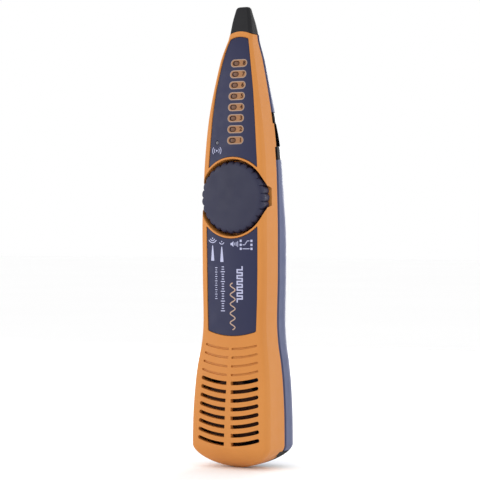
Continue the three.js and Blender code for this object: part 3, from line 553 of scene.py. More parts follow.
def smooth(obj, insets):
    """Smooth shading by face size, with the case's own normals where a face lies on its surface."""
    mesh = obj.data
    mesh.shade_smooth()
    mesh.set_sharp_from_angle(angle=SHARP_ANGLE)
    weigh = obj.modifiers.new("weigh", "WEIGHTED_NORMAL")
    weigh.keep_sharp = True
    apply_modifiers(obj)
    mesh = obj.data
    if not insets:
        return
    normals = values(mesh.corner_normals, "vector").astype(float)
    corner_vertex = values(mesh.loops, "vertex_index", np.int32, 1)[:, 0]
    facing = np.repeat(values(mesh.polygons, "normal"), [len(p.vertices) for p in mesh.polygons], axis=0)
    vertices = values(mesh.vertices, "co").astype(float)
    for inset in insets:
        exact = surface_normals(vertices, inset)[corner_vertex]
        on = (np.abs(off_surface(vertices, inset)) < ON_SURFACE)[corner_vertex]
        on &= np.sum(exact * facing, axis=1) > math.cos(ON_SURFACE_ANGLE)
        normals[on] = exact[on]
    mesh.normals_split_custom_set([tuple(n) for n in normals])


def finish(obj, name, body, look, slot, replaced, insets):
    """Names a piece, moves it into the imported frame, and gives it its normals, look and body."""
    smooth(obj, insets)
    obj.name = name
    obj.data.name = name
    for vertex in obj.data.vertices:
        vertex.co = (vertex.co.x * MM, (vertex.co.y + SEAM_Y) * MM, vertex.co.z * MM)
    obj.data.materials.clear()
    obj.data.materials.append(look)
    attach(obj, body)
    if replaced:
        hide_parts(*replaced)


# ---- Looks ----

def colour(text):
    """A linear colour from a six-digit hexadecimal sRGB one."""
    parts = [int(text[i:i + 2], 16) / 255 for i in (0, 2, 4)]
    return (*[c / 12.92 if c <= 0.04045 else ((c + 0.055) / 1.055) ** 2.4 for c in parts], 1)


class Look:
    """A procedural material, built up around one Principled shader."""

    def __init__(self, name, roughness, metallic=0.0, specular=0.5):
        self.material = bpy.data.materials.new(name)
        self.material.use_nodes = True
        self.tree = self.material.node_tree
        self.shader = self.tree.nodes["Principled BSDF"]
        self.shader.inputs["Roughness"].default_value = roughness
        self.shader.inputs["Metallic"].default_value = metallic
        self.shader.inputs["Specular IOR Level"].default_value = specular
        self.place = self.node("ShaderNodeTexCoord").outputs["Object"]

    def node(self, kind, **settings):
        made = self.tree.nodes.new(kind)
        for key, value in settings.items():
            setattr(made, key, value)
        return made

    def link(self, start, end):
        self.tree.links.new(start, end)

    def noise(self, scale, detail, stretch=(1, 1, 1)):
        mapping = self.node("ShaderNodeMapping")
        mapping.inputs["Scale"].default_value = stretch
        self.link(self.place, mapping.inputs["Vector"])
        noise = self.node("ShaderNodeTexNoise")
        noise.inputs["Scale"].default_value = scale
        noise.inputs["Detail"].default_value = detail
        self.link(mapping.outputs["Vector"], noise.inputs["Vector"])
        return noise.outputs["Fac"]

    def cells(self, scale):
        cells = self.node("ShaderNodeTexVoronoi")
        cells.inputs["Scale"].default_value = scale
        self.link(self.place, cells.inputs["Vector"])
        return cells.outputs["Distance"]

    def ramp(self, value, stops):
        ramp = self.node("ShaderNodeValToRGB")
        elements = ramp.color_ramp.elements
        while len(elements) < len(stops):
            elements.new(0.5)
        for element, (position, shade) in zip(elements, stops):
            element.position = position
            element.color = shade
        self.link(value, ramp.inputs["Fac"])
        return ramp.outputs["Color"]

    def between(self, value, low, high):
        spread = self.node("ShaderNodeMapRange")
        spread.inputs["From Min"].default_value = 0.3
        spread.inputs["From Max"].default_value = 0.7
        spread.inputs["To Min"].default_value = low
        spread.inputs["To Max"].default_value = high
        self.link(value, spread.inputs["Value"])
        return spread.outputs["Result"]

    def paint(self, value):
        self.link(value, self.shader.inputs["Base Color"])

    def rough(self, value):
        self.link(value, self.shader.inputs["Roughness"])

    def bumps(self, *layers):
        """Stacks (height, strength, distance in metres) layers of relief."""
        before = None
        for height, strength, distance in layers:
            bump = self.node("ShaderNodeBump")
            bump.inputs["Strength"].default_value = strength
            bump.inputs["Distance"].default_value = distance
            self.link(height, bump.inputs["Height"])
            if before is not None:
                self.link(before, bump.inputs["Normal"])
            before = bump.outputs["Normal"]
        self.link(before, self.shader.inputs["Normal"])


def moulded(name, light, dark, roughness, grain, relief, specular=0.5):
    """Moulded plastic: faint flow mottling, a spark-eroded grain, and handling marks in its gloss."""
    look = Look(name, roughness, specular=specular)
    look.paint(look.ramp(look.noise(38, 4, (1, 1, 0.45)), [(0.32, colour(dark)), (0.68, colour(light))]))
    look.rough(look.between(look.noise(170, 5), roughness - 0.06, roughness + 0.07))
    look.bumps((look.noise(grain, 2), relief, 0.00005), (look.noise(90, 2), 0.12, 0.0001))
    return look.material


def metal(name, light, dark, roughness):
    """Bare metal with uneven gloss and a fine grain."""
    look = Look(name, roughness, metallic=1.0)
    look.paint(look.ramp(look.noise(220, 5), [(0.3, colour(dark)), (0.7, colour(light))]))
    look.rough(look.between(look.noise(900, 4), roughness - 0.08, roughness + 0.12))
    look.bumps((look.noise(1500, 3), 0.15, 0.00003))
    return look.material


def foam(name, light, dark):
    """Open pores, or pressed paper pulp."""
    look = Look(name, 0.95)
    pores = look.cells(1100)
    look.paint(look.ramp(pores, [(0.1, colour(dark)), (0.6, colour(light))]))
    look.bumps((pores, 0.7, 0.0002))
    return look.material


def woven(name, light, dark):
    """Plain weave of threads along X and Z."""
    look = Look(name, 0.9)
    waves = []
    for direction in ("X", "Z"):
        wave = look.node("ShaderNodeTexWave", bands_direction=direction)
        wave.inputs["Scale"].default_value = 1500
        wave.inputs["Distortion"].default_value = 0.4
        look.link(look.place, wave.inputs["Vector"])
        waves.append(wave.outputs["Fac"])
    both = look.node("ShaderNodeMath", operation="MULTIPLY")
    look.link(waves[0], both.inputs[0])
    look.link(waves[1], both.inputs[1])
    weave = both.outputs["Value"]
    look.paint(look.ramp(weave, [(0.1, colour(dark)), (0.8, colour(light))]))
    look.bumps((weave, 0.6, 0.0002))
    return look.material


def circuit_board(name):
    """Green solder mask with paler tracks."""
    look = Look(name, 0.35)
    tracks = look.node("ShaderNodeTexBrick")
    tracks.inputs["Scale"].default_value = 420
    tracks.inputs["Mortar Size"].default_value = 0.03
    tracks.inputs["Color1"].default_value = colour("1F5C33")
    tracks.inputs["Color2"].default_value = colour("266B3C")
    tracks.inputs["Mortar"].default_value = colour("4E9A57")
    look.link(look.place, tracks.inputs["Vector"])
    look.paint(tracks.outputs["Color"])
    look.rough(look.between(look.noise(300, 3), 0.28, 0.42))
    look.bumps((tracks.outputs["Fac"], 0.3, 0.00005))
    return look.material


MOULDED = {  # look: name, light and dark colour, roughness, grain, relief, specular level
    "orange_shell": ("orange moulded plastic", "C68240", "C07B3A", 0.46, 2400, 0.2, 0.2),
    "slate_shell": ("slate soft-touch plastic", "565C7D", "4C5270", 0.58, 2000, 0.5),
    "label_film": ("printed label film", "262846", "222441", 0.45, 3000, 0.12, 0.25),
    "black_plastic": ("black moulded plastic", "1A1A1D", "151518", 0.5, 2200, 0.3, 0.2),
    "gloss_black": ("gloss black plastic", "101014", "0C0C10", 0.25, 1500, 0.05, 0.25),
    "black_rubber": ("black rubber", "1D1D1C", "171716", 0.7, 1800, 0.4, 0.25),
    "knob_plastic": ("slate dial plastic", "272840", "212239", 0.5, 2200, 0.45, 0.3),
    "smoke_window": ("smoked brown window", "6B4731", "5C3B28", 0.3, 900, 0.04, 0.3),
    "white_plastic": ("white plastic", "E8E6DE", "DDDAD0", 0.4, 2000, 0.15),
    "battery_can": ("battery jacket", "47506C", "3D4560", 0.3, 1500, 0.05),
    "red_wire": ("red wire jacket", "B5271F", "A2211A", 0.38, 1500, 0.05),
    "lamp_lens": ("frosted lamp lens", "5B5B68", "4E4E5A", 0.3, 1800, 0.1),
}
INKS = {  # look: a slot name from the record, passed along but not used, name, light and dark colour, specular level
    "pale_ink": ("white_plastic", "pale ink", "B3B5D2", "A6A8C6", 0.5),
    "orange_ink": ("orange_shell", "orange ink", "9A6C46", "916440", 0.3),
    "brown_ink": ("smoke_window", "brown ink", "39190C", "32150A", 0.2),
    "rim_ink": ("smoke_window", "window rim ink", "56382A", "4C3023", 0.2),
    "tan_ink": ("orange_shell", "tan ink", "B79C8A", "AB8F7D", 0.5),
    "pill_edge": ("orange_shell", "pill edge ink", "9F8879", "967F70", 0.3),
}
LOOKS = {key: moulded(*row) for key, row in MOULDED.items()}
for key, (_, name, light, dark, specular) in INKS.items():
    LOOKS[key] = moulded(name, light, dark, 0.5, 1800, 0.1, specular)
LOOKS.update(
    circuit_board=circuit_board("circuit board"),
    brass=metal("bright brass", "C9A15A", "AE8642", 0.28),
    steel=metal("zinc-plated steel", "C3C5C9", "9C9FA4", 0.32),
    cone_paper=foam("cone paper", "3F3833", "2B2622"),
    foam=foam("open foam", "3B3B40", "1E1E21"),
    grille_cloth=woven("speaker cloth", "6A3D25", "2E170C"),
)


# ---- Stage and camera ----

CAMERA_TURN = math.radians(30.25)
CAMERA_DISTANCE = 0.974
CAMERA_HEIGHT = 0.1277
CAMERA_AIM_DROP = math.radians(0.35)
CAMERA_AIM_LEFT = math.radians(0.2)
CAMERA_LENS = 135.3
FLOOR_REACH = 6


def make_camera():
    camera = linked("camera", bpy.data.cameras.new("camera"))
    camera.data.lens = CAMERA_LENS
    camera.data.sensor_width = 36
    camera.data.clip_start = 0.01
    camera.location = (
        CAMERA_DISTANCE * math.sin(CAMERA_TURN),
        SEAM_Y * MM - CAMERA_DISTANCE * math.cos(CAMERA_TURN),
        CAMERA_HEIGHT,
    )
    camera.rotation_euler = (math.pi / 2 - CAMERA_AIM_DROP, 0, CAMERA_TURN + CAMERA_AIM_LEFT)
    bpy.context.scene.camera = camera


def make_light(name, location, size, power):
    """A soft rectangular lamp, aimed at the middle of the part."""
    lamp = bpy.data.lights.new(name, "AREA")
    lamp.shape = "RECTANGLE"
    lamp.size, lamp.size_y = size
    lamp.energy = power
    obj = linked(name, lamp)
    obj.location = location
    aim = Vector((0, 0, 0.12)) - obj.location
    obj.rotation_euler = aim.to_track_quat("-Z", "Y").to_euler()


def make_stage():
    """A pale floor, an even white surround, and soft lights ahead, to the right and behind."""
    mesh = bpy.data.meshes.new("floor")
    corners = [(x * FLOOR_REACH, y * FLOOR_REACH, 0) for x, y in ((-1, -1), (1, -1), (1, 1), (-1, 1))]
    mesh.from_pydata(corners, [], [(0, 1, 2, 3)])
    floor = linked("floor", mesh)
    paper = Look("pale floor", 0.9)
    paper.paint(paper.ramp(paper.noise(3, 2), [(0.3, (0.98, 0.98, 0.98, 1)), (0.7, (0.99, 0.99, 0.99, 1))]))
    floor.data.materials.append(paper.material)
    world = bpy.data.worlds.new("surround")
    world.use_nodes = True
    world.node_tree.nodes["Background"].inputs["Color"].default_value = (1, 1, 1, 1)
    world.node_tree.nodes["Background"].inputs["Strength"].default_value = 1.0
    bpy.context.scene.world = world
    make_light("key", (-0.5, -0.5, 0.25), (0.3, 0.4), 1.4)
    make_light("side", (0.8, -0.1, 0.3), (0.4, 0.6), 1.05)
    make_light("rim", (-0.12, 0.9, 0.2), (0.5, 0.6), 6.5)
    view = bpy.context.scene.view_settings
    view.view_transform, view.look = "Standard", "None"


# ---- Front shell and labels ----

TAB = (171.6, 184.2, 0.85)  # of the front shell over the seam: bottom, top, reach
RECESS_RIM = 0.45
WELL_BACK_Y = RECESS_FLOOR_Y + 2.2


def copy_of(obj):
    return linked(obj.name, obj.data.copy())


def nose_arch(x, lift=0.0):
    return NOSE_ARCH_TOP - NOSE_ARCH_DROP * x * x + lift


def nose_room():
    """Everything above the arch where the shells end."""
    reach = 20
    arch = [(x, nose_arch(x)) for x in np.linspace(-reach, reach, 25)]
    return prism([*arch, (reach, CASE_TOP + 25), (-reach, CASE_TOP + 25)], -40, 40)


def pocket(outline):
    cutter = opening(grown(outline, LABEL_CLEARANCE), 0.3, 0)
    return cut(cutter, case_solid(LABEL_RECESS + LABEL_THICKNESS + 0.25))


def cover_hinge_zone(spare):
    """Where the dust cover's hinge tab crosses the seam into the front shell."""
    return box(16, 30, -3.2 - spare, 0.6, 6.5 - spare, 8.7 + spare)


def knob_recess():
    """The tapered round well for the dial, rounded over where it meets the front surface."""
    taper = (RECESS_RADIUS - RECESS_FLOOR_RADIUS) / (RECESS_FLOOR_Y - RECESS_EDGE_Y)
    around = circle(0, 0, 1, 144)

    def ring(reach, y):
        return at_y(around * np.reshape(reach, (-1, 1)) + [0, KNOB_Z], y)

    surface = front_y(*(around * RECESS_RADIUS + [0, KNOB_Z]).T)
    rings = [ring(RECESS_RADIUS + 1, -OUTSIDE)]
    for turn in np.linspace(0, math.pi / 2, 6):
        y = surface + RECESS_RIM * (1 - math.cos(turn))
        reach = RECESS_FLOOR_RADIUS + taper * (RECESS_FLOOR_Y - y) + RECESS_RIM * (1 - math.sin(turn))
        rings.append(ring(reach, y))
    return loft([*rings, ring(RECESS_FLOOR_RADIUS, RECESS_FLOOR_Y)])


def front_case():
    """Orange front shell with its label pockets, dial well, sound slots and shallow grooves."""
    hollow = case_solid(CAVITY, fine=False, top=CASE_TOP + 4)
    well = rod_y(0, KNOB_Z, RECESS_RADIUS + 1.6, -22, WELL_BACK_Y, 96)
    bosses = [rod_y(x, z, 3, WELL_BACK_Y - 0.5 if z > KNOB_Z else -13.5, -SEAM, 24) for x, z in SCREWS]
    shell = cut(case_solid(), cut(hollow, well, *bosses))
    slots = grille_cutters(SLOTS, SLOT_THICKNESS)
    floor = case_solid(GROOVE_DEPTH)
    grooves = [cut(groove, copy_of(floor)) for groove in grille_cutters(GROOVES, GROOVE_THICKNESS)]
    bpy.data.objects.remove(floor)
    holes = [rod_y(x, z, SOCKET_HOLE, -5.5 if z > KNOB_Z else -11.5, 1, 20) for x, z in SCREWS]
    cut(shell, knob_recess(), pocket(upper_label_outline()), pocket(lower_label_outline()),
        *slots, *grooves, *window_holes(0.3), *holes,
        rod_y(0, KNOB_Z, 3.3, -9, 0, 48), rod_y(0, KNOB_Z - 14, 1.6, -8, -3.6, 24),
        cover_hinge_zone(GAP), nose_room())
    low, high, reach = TAB
    tab = prism(rounded([(11, low), (26, low), (26, high), (11, high)], 0.5), -2, reach)
    return keep(shell, add(seam_half(-1), tab))


def label_film(outline, holes=()):
    """A label: a layer that follows the front surface, sunk into its pocket."""
    film = keep(prism(outline, -OUTSIDE, -4), case_solid(LABEL_RECESS))
    return cut(film, case_solid(LABEL_RECESS + LABEL_THICKNESS), *holes)


def window_holes(spare):
    width, height = (side + 2 * spare for side in WINDOW)
    holes = [prism(oval(WINDOW_X, z, width, height), -OUTSIDE, -4) for z in LED_HEIGHTS]
    return [*holes, rod_y(SYNC_X, SYNC_Z, SYNC_RADIUS + spare, -OUTSIDE, -4, 24)]


# ---- Printing on the labels ----

INK = 0.03
PILL_X = 1.75
PILLS = [  # name, middle, size, ink
    ("level_pill_edges", PILL_X, (10, 4.25), "pill_edge"),
    ("level_pills", PILL_X, (9.1, 3.35), "orange_ink"),
    ("level_window_rims", WINDOW_X, (4.3, 2.65), "rim_ink"),
]
DIGIT_X = 5.0
DIGIT_HEIGHT = 3.1
DIGIT_WEIGHT = 0.07
LOCATE_X = -11.8
ISOLATE_X = -5.76
SIGNAL = (-9.8, 169.6)


def joined(objects):
    """One object from several that don't touch."""
    first, *others = objects
    if not others:
        return first
    with bpy.context.temp_override(active_object=first, selected_editable_objects=objects):
        bpy.ops.object.join()
    return first


def inked(outlines, holes=(), layer=1, overlapping=False):
    """Thin prints on a label, in one solid."""
    films = [prism(outline, -OUTSIDE, -4) for outline in outlines]
    film = add(*films) if overlapping else joined(films)
    keep(film, case_solid(LABEL_RECESS - INK * layer))
    return cut(film, case_solid(LABEL_RECESS + INK), *holes)


def stroke(points, width):
    """The outline of a line of even width through points."""
    points = np.asarray(points, float)
    along = np.gradient(points, axis=0)
    along /= np.linalg.norm(along, axis=1)[:, None]
    across = np.stack([-along[:, 1], along[:, 0]], axis=1) * width / 2
    return np.concatenate([points + across, (points - across)[::-1]])


def digit(number, x, z):
    """A printed digit that follows the label."""
    curve = bpy.data.curves.new(f"digit_{number}", "FONT")
    curve.body = str(number)
    curve.size = DIGIT_HEIGHT
    curve.align_x, curve.align_y = "CENTER", "CENTER"
    curve.extrude = 0.02
    curve.offset = DIGIT_WEIGHT
    text = linked(curve.name, curve)
    mesh = bpy.data.meshes.new_from_object(text)
    bpy.data.objects.remove(text)
    obj = linked(curve.name, mesh)
    for vertex in mesh.vertices:
        across, up, lift = vertex.co
        place = x + across, z + up
        vertex.co = (place[0], front_y(*place, LABEL_RECESS) - 5 * INK - lift, place[1])
    return obj


def probe_symbol(x, bottom, height, width):
    """A small picture of a tapering probe."""
    half = width / 2
    return rounded([(x - half, bottom), (x + half, bottom), (x + half * 0.62, bottom + height * 0.55),
                    (x + half * 0.25, bottom + height), (x - half * 0.25, bottom + height),
                    (x - half * 0.62, bottom + height * 0.55)], 0.25)


def sound_arc(x, z, radius, width=0.42, spread=1.15):
    return stroke(arc(x, z, radius, 1.5 * math.pi - spread, 1.5 * math.pi + spread, 12), width)


def dot(x, z, radius):
    return circle(x, z, radius, 14)


def bar(x0, x1, z0, z1):
    return [(x0, z0), (x1, z0), (x1, z1), (x0, z1)]


def ticks(x, low, high, count, lengths, width):
    """A column of short marks, of lengths that repeat."""
    made = []
    for i, z in enumerate(np.linspace(low, high, count)):
        half = lengths[i % len(lengths)] / 2
        made.append(bar(x - half, x + half, z - width / 2, z + width / 2))
    return made


def pulse_train(x, low, pitch, pulses, height, width):
    """Strokes of a square wave that runs up the label."""
    side = height / 2
    path = []
    for z in low + pitch * np.arange(pulses):
        path += [(x - side, z), (x - side, z + pitch / 2), (x + side, z + pitch / 2), (x + side, z + pitch)]
    half = width / 2
    made = []
    for a, b in zip(path, path[1:]):
        lows, highs = np.minimum(a, b) - half, np.maximum(a, b) + half
        made.append(bar(lows[0], highs[0], lows[1], highs[1]))
    return made


def prints():
    """All the printing: (name, solid, ink)."""
    for layer, (name, x, size, ink) in enumerate(PILLS, 1):
        yield name, inked([oval(x, z, *size, 14) for z in LED_HEIGHTS], window_holes(0.2), layer), ink
    for i, z in enumerate(LED_HEIGHTS):
        yield f"level_digit_{i + 1}", digit(i + 1, DIGIT_X, z), "brown_ink"
    signal = [dot(*SIGNAL, 0.5)]
    signal += [stroke(arc(*SIGNAL, r, math.pi / 2 - 0.7 + t, math.pi / 2 + 0.7 + t, 10), 0.4)
               for r in (1.6, 2.8) for t in (math.pi / 2, -math.pi / 2)]
    yield "sync_symbol", inked(signal), "pale_ink"
    locate = [probe_symbol(LOCATE_X, 110.7, 8.2, 2.1), dot(LOCATE_X, 122.7, 0.4),
              sound_arc(LOCATE_X, 123.1, 1.6), sound_arc(LOCATE_X, 123.4, 3.0, 0.45, 1.0)]
    yield "dial_mark_locate", inked(locate), "pale_ink"
    isolate = [probe_symbol(ISOLATE_X, 110.1, 8.2, 2.1), dot(ISOLATE_X, 121, 0.35),
               sound_arc(ISOLATE_X, 121.2, 1.6)]
    yield "dial_mark_isolate", inked(isolate), "pale_ink"
    horn = [[(-0.2, 119.1), (0.5, 119.1), (1.6, 118.2), (1.6, 121.2), (0.5, 120.3), (-0.2, 120.3)]]
    horn += [bar(x, x + 0.4, 119.7 - tall, 119.7 + tall) for x, tall in ((2.2, 0.7), (3.1, 1.1), (4, 1.5))]
    yield "dial_mark_sound", inked(horn), "pale_ink"
    links = [bar(x - 0.6, x + 0.6, z - 0.6, z + 0.6) for x in (6, 12.2) for z in (117.2, 119.3, 121.4)]
    links += [stroke([(7.1, a), (8.3, a), (9.9, b), (11.1, b)], 0.4)
              for a, b in ((117.2, 117.2), (119.3, 121.4))]
    yield "dial_mark_map", inked(links), "pale_ink"
    yield "pulse_mark", inked(pulse_train(5.2, 89, 3.1, 6, 3, 0.75), overlapping=True), "pale_ink"
    wave_z = np.linspace(74, 99, 90)
    wave = stroke(np.stack([0.9 + 1.5 * np.sin((wave_z - 74) * 2 * math.pi / 5), wave_z], axis=1), 0.6)
    yield "wave_mark", inked([wave]), "tan_ink"
    yield "scale_marks", inked(ticks(-5.2, 84, 107.5, 19, (2.6, 1.5, 1.5, 1.5), 0.5)), "pale_ink"
    yield "fine_scale_marks", inked(ticks(-9.5, 90.5, 107, 15, (1.5, 0.9), 0.4)), "pale_ink"


# ---- Display, dial and tip ----

def light_windows():
    """The clear comb behind the display, with a slightly domed end in each window."""
    fingers = []
    for z in LED_HEIGHTS:
        face = float(front_y(WINDOW_X, z, LABEL_RECESS))
        window = oval(WINDOW_X, z, *WINDOW, 8)
        rings = [at_y(window, -6), at_y(window, face + 0.5)]
        for turn in np.linspace(0.3, 1.1, 3):
            drop = 0.9 * (1 - math.cos(turn))
            rings.append(at_y(oval(WINDOW_X, z, WINDOW[0] - drop, WINDOW[1] - drop, 8),
                              face + 0.5 - 0.38 * math.sin(turn)))
        fingers.append(loft(rings))
    low, high = LED_HEIGHTS[0] - 2.5, LED_HEIGHTS[-1] + 2.5
    comb = box(LED_X - 1.4, LED_X + 1.1, -6.4, -4.6, low, high)
    legs = [box(LED_X - 1.2, LED_X + 1.2, -5, -2.9, z - 0.3, z + 0.3) for z in (low + 0.3, high - 0.3)]
    return add(comb, *fingers, *legs)


def sync_lens():
    """Low domed lens on a flange."""
    face = float(front_y(SYNC_X, SYNC_Z, LABEL_RECESS))
    outline = [(0, -2.9), (1.6, -2.9), (1.6, -8), (SYNC_RADIUS, -8), (SYNC_RADIUS, face + 0.4),
               (0.95, face + 0.16), (0.6, face + 0.04), (0, face)]
    return turned_y(SYNC_X, SYNC_Z, outline, 32)


def tooth_ring(y, radius, tooth):
    """The dial's outline at one depth: round-topped teeth with narrow roots."""
    angles = np.linspace(0, 2 * math.pi, KNOB_TEETH * 16, endpoint=False)
    bump = np.abs(np.cos(KNOB_TEETH * angles / 2)) ** 0.5
    reach = radius - tooth * (1 - bump)
    return [(r * math.cos(a), y, KNOB_Z + r * math.sin(a)) for r, a in zip(reach, angles)]


def dial():
    """The thumb wheel: 27 rounded teeth, a bevelled face with a shallow dish, and a hollow back."""
    r = KNOB_RADIUS
    rings = [(-6.9, r - 1.0, 1.2), (-7.1, r - 0.9, 1.2), (-13.0, r - 0.02, 1.2), (-13.8, r, 1.2),
             (-14.4, r - 0.15, 1.15), (-14.9, r - 0.5, 1.0), (-15.3, r - 0.95, 0.7), (-15.55, r - 1.4, 0.4),
             (-15.7, r - 1.9, 0.1)]
    rings += [(0.6 * (k / r) ** 2 - 16.28, k, 0) for k in (r - 2.5, 15.5, 13.5, 11.5, 9, 6.5, 4, 1.5)]
    body = loft([tooth_ring(y, radius, tooth) for y, radius, tooth in rings])
    hollow = turned_y(0, KNOB_Z, [(5, -6), (12, -6), (12, -14), (5, -14)], 48)
    groove = turned_y(0, KNOB_Z, [(12.6, -6), (15.4, -6), (14.7, -8.2), (13.3, -8.2)], 48)
    return cut(body, hollow, rod_y(0, KNOB_Z, 3.05, -13.6, -5, 48), groove)


TIP_SECTIONS = [  # height, half width, front, rear, corner radius
    (238, 6, -6.1, 1.4, 1.9), (241, 5.4, -5.6, 0.55, 1.8), (243.5, 4.8, -5.1, -0.1, 1.7),
    (245, 4.4, -4.82, -0.3, 1.6), (245.9, 4.12, -4.6, -0.45, 1.55), (246.5, 3.7, -4.3, -0.72, 1.4),
    (246.85, 3.2, -3.95, -1.05, 1.2), (247, 2.7, -3.55, -1.4, 1),
]


def tip_ring(z, w, front, rear, radius):
    """A rounded rectangle across the tip. Its height may be a function of x."""
    corners = [(w - radius, rear - radius), (radius - w, rear - radius),
               (radius - w, front + radius), (w - radius, front + radius)]
    ring = np.concatenate([arc(x, y, radius, k * math.pi / 2, (k + 1) * math.pi / 2, 7)
                           for k, (x, y) in enumerate(corners)])
    return [(x, y, z(x) if callable(z) else z) for x, y in ring]


def tip_cap():
    """Pull-off plastic tip, whose lower edge follows the arch of the nose."""
    cap_rings = [
        tip_ring(lambda x: nose_arch(x, 0.16), 6.72, -6.62, 2.42, 1.9),
        tip_ring(lambda x: nose_arch(x, 0.34), 6.88, -6.78, 2.58, 2),
        *[tip_ring(*row) for row in TIP_SECTIONS],
    ]
    neck = loft([tip_ring(228.6, 4.6, -4.1, 0.8, 1.2), tip_ring(235, 4.6, -3.6, 0.8, 1.2)])
    return cut(add(loft(cap_rings), neck), rod_z(0, -2.3, 1.65, 220, 242.6, 32))


# ---- Rear shell and its fittings ----

DOOR = (13.9, 18, 84)  # half width, bottom, top
DOOR_INNER_Y = 13.6
DOOR_EDGE = 0.35
NOTCH_RADIUS = 4.6
REAR_FLAT_Y = 15.5
BEZEL = (8, 165, 190)  # inner x, bottom, top
BEZEL_THICKNESS = 1.5
MOUTH = (2.8, 1.3, 7.7, 5.95)  # stop x, near y, far y, half height
COVER = (9.5, 9.6, 8.7)  # inner x, rear y, top
COVER_THICKNESS = 2


def tab_room():
    """Clearance for the front shell's tab."""
    low, high, reach = TAB
    return box(9, 40, -2, reach + GAP, low - GAP, high + GAP)


def bezel_zone(spare):
    inner, low, high = BEZEL
    return box(inner - spare, 30, -2, 30, low - spare, high + spare)


def cover_zone(spare):
    inner, rear, top = COVER
    return box(inner - spare, 30, -2, rear + spare, -5, top + spare)


def rear_case():
    """Slate rear shell with its battery opening, screw wells, finger notch and socket cut-outs."""
    hollow = case_solid(CAVITY, fine=False, top=CASE_TOP + 4)
    bosses = [rod_y(x, z, 3.9, -SEAM, 20, 32) for x, z in SCREWS]
    rib = cut(box(-30, 30, 1, 20, 76.6, 78), box(-6, 6, 0, 6, 75, 79))
    block = box(COVER[0] - 3, 30, -SEAM, COVER[1] + 2, -5, 11.7)
    shell = cut(case_solid(), cut(hollow, *bosses, rib, block))
    wells = [opening(circle(x, z, 2.9, 36), 0.35, SCREW_SEAT_Y, rear_y, -1) for x, z in SCREWS]
    holes = [rod_y(x, z, SHANK_HOLE, -1, 8, 24) for x, z in SCREWS]
    half, low, high = DOOR
    edge = half + GAP
    frame_outline = rounded([(-edge, low), (edge, low), (edge, high), (-edge, high)], 1.5)
    notch_outline = arc(0, high + 0.4, NOTCH_RADIUS, 0, math.pi, 24)
    notch_foot = [(-NOTCH_RADIUS, high - 1), (NOTCH_RADIUS, high - 1)]
    notch = opening(np.concatenate([notch_outline, notch_foot]), 0.3, REAR_FLAT_Y - 0.8, rear_y, -1)
    cover_recess = cut(cover_zone(GAP), case_solid(COVER_THICKNESS + GAP))
    cut(shell, *wells, *holes, opening(frame_outline, 0.3, 10, rear_y, -1), notch, bezel_zone(GAP),
        cover_recess, rod_z(PHONE_X, PHONE_Y, PHONE_RADIUS, -1, 14, 40), tab_room(), nose_room())
    return keep(shell, seam_half(1))


def seam_lip():
    """A dark strip inside the walls, which closes the joint between the shells."""
    lip = keep(box(-30, 30, -1, 1, 9, 231), case_solid(CAVITY, fine=False, top=CASE_TOP + 4))
    bosses = [rod_y(x, z, 4.2, -5, 5, 32) for x, z in SCREWS]
    return cut(lip, case_solid(2.7, fine=False), bezel_zone(1), *bosses)


def flat_rear_y(x, z):
    return np.full(np.shape(x), REAR_FLAT_Y)


def door():
    """Flat battery door with rounded edges, two hooked tongues and a thumb grip of five grooves."""
    half, low, high = DOOR
    corners = [(-half, low + GAP), (half, low + GAP), (half, high - GAP), (-half, high - GAP)]
    outline = rounded(corners, 1.4, 7)
    rings = [at_y(outline, DOOR_INNER_Y)]
    for turn in np.linspace(0, math.pi / 2, 5):
        inset = DOOR_EDGE * (1 - math.cos(turn))
        rings.append(at_y(grown(outline, -inset), REAR_FLAT_Y - DOOR_EDGE + DOOR_EDGE * math.sin(turn)))
    tongues = [box(x - 2.5, x + 2.5, DOOR_INNER_Y - 1.3, DOOR_INNER_Y + back, low + foot, low + 1.8)
               for x in (-8, 8) for back, foot in ((0.2, GAP), (-0.45, -1.4))]
    grips = [opening(oval(0, high - 6 - 2.2 * i, 14, 1, 8), 0.25, REAR_FLAT_Y - 0.5, flat_rear_y, -1)
             for i in range(5)]
    return cut(add(loft(rings), *tongues), *grips)


def socket_bezel():
    """Gloss frame of the patch-lead socket, flush with the case skin, with a square mouth cut through it.
    """
    stop, near, far, half = MOUTH
    panel = cut(case_solid(), case_solid(BEZEL_THICKNESS))
    keep(panel, bezel_zone(0), seam_half(1))
    mouth = box(stop, 40, near - 0.1, far + 0.1, JACK_Z - half - 0.1, JACK_Z + half + 0.1)
    return cut(panel, tab_room(), mouth)


def contacts():
    """Eight bent spring wires on one carrier."""
    far = MOUTH[2]
    carrier = box(3.2, 4.4, far - 1.5, far - 0.4, JACK_Z - 4.4, JACK_Z + 4.4)
    wires = []
    for i in range(8):
        z = JACK_Z + 1.02 * (i - 3.5)
        path = [(4.2, far - 0.9), (6, far - 0.75), (7.6, far - 0.85), (8.8, far - 1.1), (9.5, far - 1.5)]
        outline = stroke(path, 0.36)
        rings = [[(x, y, z + side) for x, y in outline] for side in (-0.22, 0.22)]
        wires.append(loft(rings))
    return add(carrier, *wires)


def cover():
    """Rubber cover of the earphone socket, with the hinge tab that shows in the front shell's edge."""
    panel = cut(case_solid(), case_solid(COVER_THICKNESS))
    tab = keep(copy_of(panel), cover_hinge_zone(0))
    keep(panel, cover_zone(0), box(0, 60, SEAM, 60, -5, 60))
    return add(panel, tab)


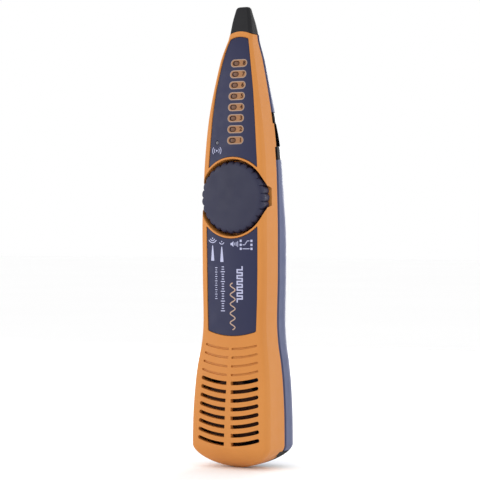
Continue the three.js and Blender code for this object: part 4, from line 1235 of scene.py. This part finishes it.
def screw(x, z, tip_y):
    """A pan-head case screw with a cross recess."""
    head_top = SCREW_SEAT_Y + 1.7
    outline = [(0, tip_y - 1.1), (1.3, tip_y), (1.3, SCREW_SEAT_Y), (2.6, SCREW_SEAT_Y),
               (2.6, SCREW_SEAT_Y + 0.6), (2.4, head_top - 0.6), (1.9, head_top - 0.22),
               (1.1, head_top - 0.04), (0, head_top)]
    cross = [box(x - a, x + a, head_top - 1, head_top + 1, z - b, z + b)
             for a, b in ((1.5, 0.32), (0.32, 1.5))]
    return cut(turned_y(x, z, outline, 36), *cross)


# ---- Building ----

def place(obj, name, look, *replaced, body="housing", slot=None, insets=()):
    finish(obj, name, body, LOOKS[look], slot or look, replaced, insets)


def build():
    place(front_case(), "front_case", "orange_shell", "front_shell", insets=(0.0, GROOVE_DEPTH))
    place(rear_case(), "rear_case", "slate_shell", "rear_shell", insets=(0.0,))
    place(seam_lip(), "seam_lip", "black_plastic")
    place(label_film(upper_label_outline(), window_holes(0.2)), "upper_label_print",
          "label_film", "upper_label", insets=(LABEL_RECESS,))
    place(label_film(lower_label_outline()), "lower_label_print",
          "label_film", "lower_label", insets=(LABEL_RECESS,))
    for name, obj, ink in prints():
        place(obj, name, ink, slot=INKS[ink][0], insets=(LABEL_RECESS - INK,))
    place(light_windows(), "light_windows", "smoke_window", "light_guide")
    place(sync_lens(), "sync_lens", "lamp_lens", "sync_led", slot="white_plastic")
    place(dial(), "dial", "knob_plastic", "rotary_knob", body="knob")
    place(tip_cap(), "tip_cap", "black_plastic", "probe_tip", body="tip")
    place(door(), "door", "slate_shell", "battery_door", body="door")
    place(socket_bezel(), "socket_bezel", "gloss_black", "jack_bezel", insets=(0.0,))
    place(contacts(), "socket_contacts", "brass", "jack_contacts")
    place(cover(), "cover_flap", "black_rubber", "dust_cover", body="cover", insets=(0.0,))
    for i, (x, z) in enumerate(SCREWS):
        place(screw(x, z, -5 if z > KNOB_Z else -11), f"rear_screw_{i + 1}", "steel",
              f"case_screw_{i + 1}")


build()

make_camera()
make_stage()

NODE_SLOTS = {row["node"]: row["material_slot"] for row in frame["record"]["subparts"]}
for node_name, node in frame["nodes"].items():
    if not node.hide_render:
        node_slot = NODE_SLOTS[node_name]
        look = LOOKS.get(node_name, LOOKS[node_slot])
        node.data.materials.clear()
        node.data.materials.append(look)
